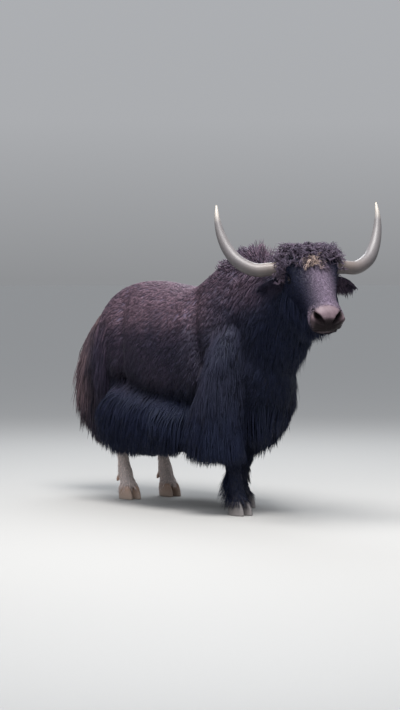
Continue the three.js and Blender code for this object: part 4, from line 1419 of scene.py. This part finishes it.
def eyeball(side):
    rings, sides = 24, 40
    theta = np.linspace(0.02, math.pi - 0.02, rings)[:, None]
    phi = np.linspace(0, 2 * np.pi, sides, endpoint=False)[None, :]
    w = np.cos(theta) * np.ones_like(phi)
    grid = np.stack([np.sin(theta) * np.cos(phi), w * side, np.sin(theta) * np.sin(phi) * -side], axis=-1)
    cornea = 1 + 0.04 * np.exp(-(theta / 0.5) ** 2)
    return eye_centre(side) + grid * cornea[..., None] * EYE_RADIUS, grid


for name, side in SIDES.items():
    grid, direction = eyeball(side)
    points, faces = closed(from_head(grid))
    obj = simple_piece(f"eye_{name}_fine", points, faces, [f"eye_{name}"], "eye")
    x, y, z = np.vstack([direction.reshape(-1, 3), [[0, side, 0], [0, -side, 0]]]).T
    colour_attribute(obj.data, "gaze", x * 0.5 + 0.5, np.abs(y), z * 0.5 + 0.5)
    eyes.append(obj)
print("eyes", len(eyes))

# %% [markdown]
# Each foot has two claws with a narrow cleft, a blunt toe and a flat sole. Two small dewclaws hang behind
# each fetlock.

# %% Claws
CLAW_OFFSET = 0.027
CLAW_SLICES = np.array([
    [0.0, 0.005, 0.056, 0.0215], [0.004, 0.006, 0.0595, 0.0235], [0.03, 0.002, 0.058, 0.0245],
    [0.055, -0.005, 0.052, 0.0225], [0.068, -0.009, 0.047, 0.0205], [0.072, -0.010, 0.043, 0.018],
])


def claw(foot, side):
    z = np.linspace(0, HOOF_TOP, 26)
    shift, long, wide = (np.interp(z, CLAW_SLICES[:, 0], CLAW_SLICES[:, k])[:, None] for k in (1, 2, 3))
    angle = np.linspace(0, 2 * np.pi, 44, endpoint=False)[None, :]
    c, s = np.cos(angle), np.sin(angle)
    toe = np.where(c > 0, 1 - 0.27 * c, 1)
    square = np.abs(s) ** 0.85 * np.sign(s)
    ridge = 1 + 0.012 * np.sin(z[:, None] * 700)
    x = foot[0] + shift + long * c * ridge
    y = foot[1] + CLAW_OFFSET * side + wide * toe * square * ridge
    grid = np.stack([x, y, np.broadcast_to(z[:, None], x.shape)], axis=-1)
    return closed(grid)


def dewclaw(foot, side):
    rows = [
        [foot[0] - 0.055, foot[1] + 0.018 * side, 0.138, 0.013, 0.011, 0.011],
        [foot[0] - 0.072, foot[1] + 0.022 * side, 0.118, 0.012, 0.010, 0.010],
        [foot[0] - 0.082, foot[1] + 0.025 * side, 0.100, 0.008, 0.007, 0.007],
        [foot[0] - 0.084, foot[1] + 0.026 * side, 0.094, 0.003, 0.003, 0.003],
    ]
    return closed(Loft(rows, FORWARD).grid(14, 16))


for leg, foot in FEET.items():
    for name, side in SIDES.items():
        points, faces = claw(foot, side)
        claws.append(simple_piece(f"{leg}_claw_{name}_fine", points, faces, [f"{leg}_claw_{name}"], "hoof"))
        points, faces = dewclaw(foot, side)
        claws.append(simple_piece(f"{leg}_dewclaw_{name}", points, faces, [], "hoof"))
print("claws", len(claws))

# %% [markdown]
# Two effects are shared by several materials, so each is a node group that is built once. The first mixes
# the coat's colour from its markings, its tone and how far along the hair a point is: the hair is darker
# towards the root, which paints the shade deep in the coat. The second gives fine grain in the direction of
# the hair as a height for bump.

# %% Shared node groups


def new_group(name, inputs, output, kind):
    """A node group with its inputs' sockets and the node that takes its one output."""
    group = bpy.data.node_groups.new(name, "ShaderNodeTree")
    for label, value in inputs.items():
        socket_type = "NodeSocketFloat" if isinstance(value, float) else "NodeSocketColor"
        group.interface.new_socket(label, in_out="INPUT", socket_type=socket_type).default_value = value
    group.interface.new_socket(output, in_out="OUTPUT", socket_type=kind)
    return group, group.nodes.new("NodeGroupInput").outputs, group.nodes.new("NodeGroupOutput")


def feed(tree, node, inputs):
    """Gives inputs of a node their values. A value that is a socket is linked."""
    for label, value in inputs.items():
        if isinstance(value, bpy.types.NodeSocket):
            tree.links.new(value, node.inputs[label])
        else:
            node.inputs[label].default_value = value


def add_node(tree, kind, inputs=None, **settings):
    """A node whose settings are made before its inputs are fed."""
    node = tree.nodes.new(f"ShaderNode{kind}")
    for label, value in settings.items():
        setattr(node, label, value)
    feed(tree, node, inputs or {})
    return node


def mix_colour(tree, factor, first, second):
    return add_node(tree, "Mix", {0: factor, 6: first, 7: second}, data_type="RGBA").outputs[2]


def maths(tree, operation, *values, clamp=False):
    return add_node(tree, "Math", dict(enumerate(values)), operation=operation, use_clamp=clamp).outputs[0]


def coat_colour_group():
    group, given, end = new_group("coat_colour", {
        "Tone": 0.5, "Along": 0.0, "Brown": 0.0, "Pale": 0.0,
        # The blue in the black hair, and part of the purple in the brown, is painted reflection of the sky.
        "Black Hair": (0.0076, 0.0094, 0.0240, 1),
        "Brown Hair": (0.150, 0.095, 0.122, 1),
        "Pale Hair": (0.80, 0.69, 0.66, 1),
    }, "Color", "NodeSocketColor")
    place = add_node(group, "TexCoord").outputs["Object"]
    patches = add_node(group, "TexNoise", {"Scale": 3.2, "Detail": 4, "Vector": place})
    uneven = maths(group, "MULTIPLY", patches.outputs["Fac"], 1.85)
    brown = maths(group, "MULTIPLY", given["Brown"], uneven, clamp=True)
    worn = maths(group, "MULTIPLY_ADD", given["Tone"], 0.6, 0.6)
    brown = maths(group, "MULTIPLY", brown, worn, clamp=True)
    dark = mix_colour(group, brown, given["Black Hair"], given["Brown Hair"])
    base = mix_colour(group, given["Pale"], dark, given["Pale Hair"])
    # Painted shade: the hair is darker towards its root, deep in the coat, and lighter towards its tip.
    light = maths(group, "MULTIPLY_ADD", given["Along"], 0.55, 0.68)
    shade = maths(group, "MULTIPLY_ADD", given["Tone"], 0.44, 0.78)
    light = maths(group, "MULTIPLY", light, shade)
    lit = add_node(group, "VectorMath", {0: base, "Scale": light}, operation="SCALE")
    feed(group, end, {"Color": lit.outputs[0]})
    return group


def hair_grain_group():
    group, given, end = new_group("hair_grain", {"Scale": 260.0, "Stretch": 0.12}, "Height", "NodeSocketFloat")
    place = add_node(group, "TexCoord").outputs["Object"]
    squash = add_node(group, "CombineXYZ", {0: 1, 1: 1, 2: given["Stretch"]}).outputs[0]
    stretch = add_node(group, "VectorMath", {0: place, 1: squash}, operation="MULTIPLY").outputs[0]
    streaks = add_node(group, "TexNoise", {"Detail": 3, "Vector": stretch, "Scale": given["Scale"]})
    feed(group, end, {"Height": streaks.outputs["Fac"]})
    return group


coat_colour = coat_colour_group()
hair_grain = hair_grain_group()
print("groups", [g.name for g in (coat_colour, hair_grain)])

# %% [markdown]
# Hair is dark but not flat: it is rough, with a soft sheen that catches the sky. The coat and the skin
# under it use the same colour group, so that no pale gap shows between tufts.

# %% Coat and skin materials
GRAIN_HEIGHT = 0.001
# The face's hair is brighter and bluer than the rest, partly as painted sheen where the light falls on it.
FACE_BROWN = (0.212, 0.158, 0.236, 1)
BLUE_SHEEN = (0.45, 0.62, 1.0, 1)
WARM_SHEEN = (1.0, 0.86, 0.78, 1)


def new_material(name):
    material = bpy.data.materials.new(name)
    material.use_nodes = True
    return material, material.node_tree, material.node_tree.nodes["Principled BSDF"]


def channels(tree, name):
    """Red, green, blue and alpha of the colour that the points carry under that name."""
    colour = add_node(tree, "Attribute", attribute_name=name)
    parts = add_node(tree, "SeparateColor", {0: colour.outputs["Color"]})
    return *parts.outputs[:3], colour.outputs["Alpha"]


def coat_look(tree, hair=None):
    """The coat's colour, where the hair may name other colours than the usual ones."""
    tone, along, brown, pale = channels(tree, "coat")
    group = add_node(tree, "Group", node_tree=coat_colour)
    feed(tree, group, {"Tone": tone, "Along": along, "Brown": brown, "Pale": pale, **(hair or {})})
    return group.outputs["Color"]


def grain_bump(tree, scale, stretch, strength, under=None):
    """The grain of the hair as a normal, over the bump under it if there is one."""
    grain = add_node(tree, "Group", {}, node_tree=hair_grain)
    feed(tree, grain, {"Scale": scale, "Stretch": stretch})
    raised = add_node(tree, "Bump", {
        "Strength": strength, "Distance": GRAIN_HEIGHT, "Height": grain.outputs["Height"],
    })
    if under is not None:
        feed(tree, raised, {"Normal": under})
    return raised.outputs["Normal"]


def coat_material(name, roughness, sheen, sheen_tint, gloss=0.16, hair=None):
    material, tree, shader = new_material(name)
    feed(tree, shader, {
        "Base Color": coat_look(tree, hair),
        "Roughness": roughness,
        "Specular IOR Level": gloss,
        "Specular Tint": (0.72, 0.83, 1.0, 1),
        "Sheen Weight": sheen,
        "Sheen Roughness": 0.45,
        "Sheen Tint": sheen_tint,
        "Normal": grain_bump(tree, 240, 0.15, 0.3),
    })
    return material


def skin_material():
    """Coat-coloured hide, bare and pebbled round the nose, dark on the lids and lower muzzle, and dark in the
    nostrils and the mouth's groove as painted shade.
    """
    material, tree, shader = new_material("skin")
    bare_share, dark_and_shade_share, _, _ = channels(tree, "bare")
    mottle = add_node(tree, "TexNoise", {"Scale": 55, "Detail": 5}).outputs["Fac"]
    hide = mix_colour(tree, mottle, (0.064, 0.042, 0.050, 1), (0.192, 0.136, 0.157, 1))
    pad = mix_colour(tree, bare_share, coat_look(tree, {"Brown Hair": FACE_BROWN}), hide)
    pebbles = add_node(tree, "TexVoronoi", {"Scale": 210, "Randomness": 0.9}).outputs["Distance"]
    clean = maths(tree, "SUBTRACT", bare_share, dark_and_shade_share, clamp=True)
    height = maths(tree, "MULTIPLY", pebbles, clean)
    raised = add_node(tree, "Bump", {"Strength": 0.6, "Distance": 0.0012, "Height": height}, invert=True)
    feed(tree, shader, {
        "Base Color": mix_colour(tree, dark_and_shade_share, pad, (0.002, 0.002, 0.002, 1)),
        "Roughness": maths(tree, "MULTIPLY_ADD", bare_share, -0.28, 0.75),
        "Specular IOR Level": maths(tree, "MULTIPLY_ADD", dark_and_shade_share, -0.2, 0.23),
        "Normal": grain_bump(tree, 190, 0.6, 0.4, raised.outputs["Normal"]),
    })
    return material


tail_brown = {"Brown Hair": (0.125, 0.082, 0.088, 1)}
face_brown = {"Brown Hair": FACE_BROWN}
curl_straw = {"Brown Hair": (0.205, 0.148, 0.192, 1), "Pale Hair": (0.62, 0.46, 0.345, 1)}
black_coat = coat_material("black_coat", 0.48, 0.025, BLUE_SHEEN)
brown_coat = coat_material("brown_coat", 0.6, 0.05, WARM_SHEEN, hair=tail_brown)
face_coat = coat_material("face_coat", 0.55, 0.01, WARM_SHEEN, gloss=0.09, hair=face_brown)
curl_coat = coat_material("curl_coat", 0.48, 0.025, BLUE_SHEEN, hair=curl_straw)
shank_coat = coat_material("shank_coat", 0.65, 0.05, WARM_SHEEN)
skin_finish = skin_material()
print("materials", [m.name for m in bpy.data.materials])

# %% [markdown]
# Horn is layered keratin: tan and slightly flaky at the base, grey along the sweep, pale at the tip, with
# fine lines along it; its underside is darkened, painted shade broken up by streaky stains. Claws are the same
# stuff, worn and dusty near the ground.

# %% Horn, eye and claw materials


def ramp(tree, factor, stops):
    """Colours by place. The first two stops are the ends, at 0 and 1."""
    node = add_node(tree, "ValToRGB", {0: factor})
    elements = node.color_ramp.elements
    for place, _ in stops[2:]:
        elements.new(place)
    for element, (place, colour) in zip(sorted(elements, key=lambda e: e.position), sorted(stops)):
        element.position = place
        element.color = colour
    return node.outputs[0]


def horn_material():
    material, tree, shader = new_material("horn")
    length, under, _, _ = channels(tree, "grow")
    streak = add_node(tree, "TexNoise", {"Scale": 9, "Detail": 8, "Roughness": 0.7}).outputs["Fac"]
    along = ramp(tree, length, [
        (0.0, (0.115, 0.080, 0.064, 1)), (1.0, (0.82, 0.74, 0.62, 1)), (0.2, (0.136, 0.104, 0.092, 1)),
        (0.45, (0.108, 0.099, 0.107, 1)), (0.75, (0.17, 0.160, 0.166, 1)), (0.86, (0.64, 0.585, 0.52, 1)),
    ])
    worn = mix_colour(tree, streak, (0.10, 0.085, 0.07, 1), along)
    clean = mix_colour(tree, 0.6, worn, along)
    # Painted shade on the underside, broken up by the streaks of stain.
    under_shade_and_stain = maths(tree, "MULTIPLY", under, maths(tree, "MULTIPLY", streak, 1.3))
    feed(tree, shader, {
        "Base Color": mix_colour(tree, under_shade_and_stain, clean, (0.042, 0.037, 0.040, 1)),
        "Roughness": maths(tree, "MULTIPLY_ADD", streak, 0.3, 0.28),
        "Normal": grain_bump(tree, 90, 0.5, 0.25),
    })
    return material


def eye_material():
    """The pupil is the middle of an ellipse, wide across the eye and low."""
    material, tree, shader = new_material("eye")
    across, _, upright, _ = channels(tree, "gaze")
    squares = []
    for part, stretch in ((across, 2.2), (upright, 5.5)):
        off = maths(tree, "MULTIPLY", maths(tree, "SUBTRACT", part, 0.5), stretch)
        squares.append(maths(tree, "POWER", maths(tree, "ABSOLUTE", off), 2))
    pupil = ramp(tree, maths(tree, "ADD", *squares), [
        (0.0, (0.001, 0.001, 0.002, 1)), (1.0, (0.016, 0.008, 0.006, 1)),
        (0.22, (0.002, 0.001, 0.002, 1)), (0.3, (0.014, 0.007, 0.005, 1)),
    ])
    feed(tree, shader, {"Base Color": pupil, "Roughness": 0.07, "Specular IOR Level": 0.3})
    return material


def hoof_material(name, low, high):
    material, tree, shader = new_material(name)
    place = add_node(tree, "TexCoord").outputs["Object"]
    rise = add_node(tree, "SeparateXYZ", {0: place}).outputs["Z"]
    height = maths(tree, "MULTIPLY", rise, 1 / HOOF_TOP)
    dust = add_node(tree, "TexNoise", {"Scale": 45, "Detail": 6}).outputs["Fac"]
    uneven = maths(tree, "MULTIPLY_ADD", dust, 0.7, -0.35)
    blend = maths(tree, "ADD", height, uneven, clamp=True)
    feed(tree, shader, {
        "Base Color": mix_colour(tree, blend, low, high),
        "Roughness": 0.55,
        "Normal": grain_bump(tree, 120, 4.0, 0.4),
    })
    return material


horn_finish = horn_material()
eye_finish = eye_material()
fore_hoof = hoof_material("hoof_dark", (0.22, 0.20, 0.195, 1), (0.07, 0.063, 0.066, 1))
hind_hoof = hoof_material("hoof_tan", (0.36, 0.28, 0.23, 1), (0.40, 0.26, 0.20, 1))
print("materials", len(bpy.data.materials))

# %% [markdown]
# Each piece takes its material, and all of them belong to the one body, since nothing on the model moves.
# The skin stands for the flesh solids of the CAD model.

# %% Dress every piece and let it ride
slot_finish = {
    "black_coat": black_coat, "brown_coat": brown_coat, "face_coat": face_coat, "shank_coat": shank_coat,
}
for piece in coats:
    finish = curl_coat if piece.name.startswith("forelock") else slot_finish[piece["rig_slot"]]
    piece.data.materials.append(finish)
skin.data.materials.append(skin_finish)
for piece in horns:
    piece.data.materials.append(horn_finish)
for piece in eyes:
    piece.data.materials.append(eye_finish)
for piece in claws:
    piece.data.materials.append(fore_hoof if piece.name.startswith("fore") else hind_hoof)
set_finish(skin, "black_coat")
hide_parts("torso", "neck", "tail", "head", "ear_left", "ear_right", *FEET)
for piece in [skin, *coats, *horns, *eyes, *claws]:
    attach(piece, "root")
print("pieces", 1 + len(coats) + len(horns) + len(eyes) + len(claws))

# %% [markdown]
# A plain pale floor that runs far back, and three large soft lights: the key high on the side of the face,
# a weaker fill in front and a weaker rim behind, under a sky that is brighter overhead than at the horizon.
# The camera stands where the photograph was taken from: level with the withers, a little ahead of the right
# shoulder, with a long lens.

# %% Floor, light and camera
FLOOR_REACH = 400
floor_corners = [(x * FLOOR_REACH, y * FLOOR_REACH, 0) for x, y in ((-1, -1), (1, -1), (1, 1), (-1, 1))]
floor = object_from("floor", floor_corners, [(0, 1, 2, 3)])
floor_finish, floor_tree, shader = new_material("floor")
feed(floor_tree, shader, {"Base Color": (0.37, 0.365, 0.355, 1), "Roughness": 0.9})
floor.data.materials.append(floor_finish)
floor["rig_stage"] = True

world = bpy.data.worlds.new("sky")
world.use_nodes = True
sky_tree = world.node_tree
sky_place = add_node(sky_tree, "TexCoord").outputs["Generated"]
sky_rise = add_node(sky_tree, "SeparateXYZ", {0: sky_place}).outputs["Z"]
sky = ramp(sky_tree, sky_rise, [
    (0.0, (0.305, 0.312, 0.324, 1)), (1.0, (0.95, 1.0, 1.08, 1)), (0.3, (0.50, 0.52, 0.55, 1)),
    (0.07, (0.45, 0.46, 0.48, 1)),
])
feed(sky_tree, sky_tree.nodes["Background"], {0: sky, 1: 0.9})
bpy.context.scene.world = world
bpy.context.scene.view_settings.view_transform = "Standard"


def soft_light(name, at, target, size, power, colour):
    lamp = bpy.data.lights.new(name, "AREA")
    lamp.shape = "DISK"
    lamp.size = size
    lamp.energy = power
    lamp.color = colour
    obj = add_object(name, lamp)
    obj.location = Vector(at) + Vector(ORIGIN)
    obj.rotation_mode = "QUATERNION"
    obj.rotation_quaternion = (Vector(target) - Vector(at)).to_track_quat("-Z", "Y")


soft_light("key", (1.6, -1.2, 5.2), (0.1, -0.1, 0.8), 3.2, 420, (1.0, 0.98, 0.96))
soft_light("fill", (5.0, -3.5, 3.0), (0.4, 0, 0.9), 3.0, 120, (0.95, 0.97, 1.0))
soft_light("rim", (-3.5, 2.5, 4.5), (0, 0, 0.9), 3.0, 160, (0.92, 0.96, 1.0))

PHOTO_WIDTH, PHOTO_HEIGHT = 400, 710
FOCAL_PIXELS = 2240
ORIGIN_PIXEL_X, HORIZON_PIXEL_Y = 208, 280
CAMERA_HEIGHT, CAMERA_DISTANCE = 1.2, 11.9
VIEW_AZIMUTH = math.radians(55)

toward = Vector((-math.sin(VIEW_AZIMUTH), math.cos(VIEW_AZIMUTH), 0))
rightward = Vector((math.cos(VIEW_AZIMUTH), math.sin(VIEW_AZIMUTH), 0))
aim = toward - rightward * (ORIGIN_PIXEL_X - PHOTO_WIDTH / 2) / FOCAL_PIXELS
aim -= Vector(UP) * (PHOTO_HEIGHT / 2 - HORIZON_PIXEL_Y) / FOCAL_PIXELS
camera_data = bpy.data.cameras.new("camera")
camera_data.lens = camera_data.sensor_width * FOCAL_PIXELS / PHOTO_HEIGHT
camera = add_object("camera", camera_data)
camera.location = Vector(ORIGIN) - toward * CAMERA_DISTANCE + Vector(UP) * CAMERA_HEIGHT
camera.rotation_mode = "QUATERNION"
camera.rotation_quaternion = aim.to_track_quat("-Z", "Y")
bpy.context.scene.camera = camera
print("lens", round(camera_data.lens, 1), "mm")

# %% [markdown]
# The finished model's box is measured again, and the coat's triangles are counted.

# %% Measure the finished model and count the coat
low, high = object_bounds()
total = sum(len(p.data.loop_triangles) or len(p.data.polygons) for p in coats)
print("coat triangles", total)
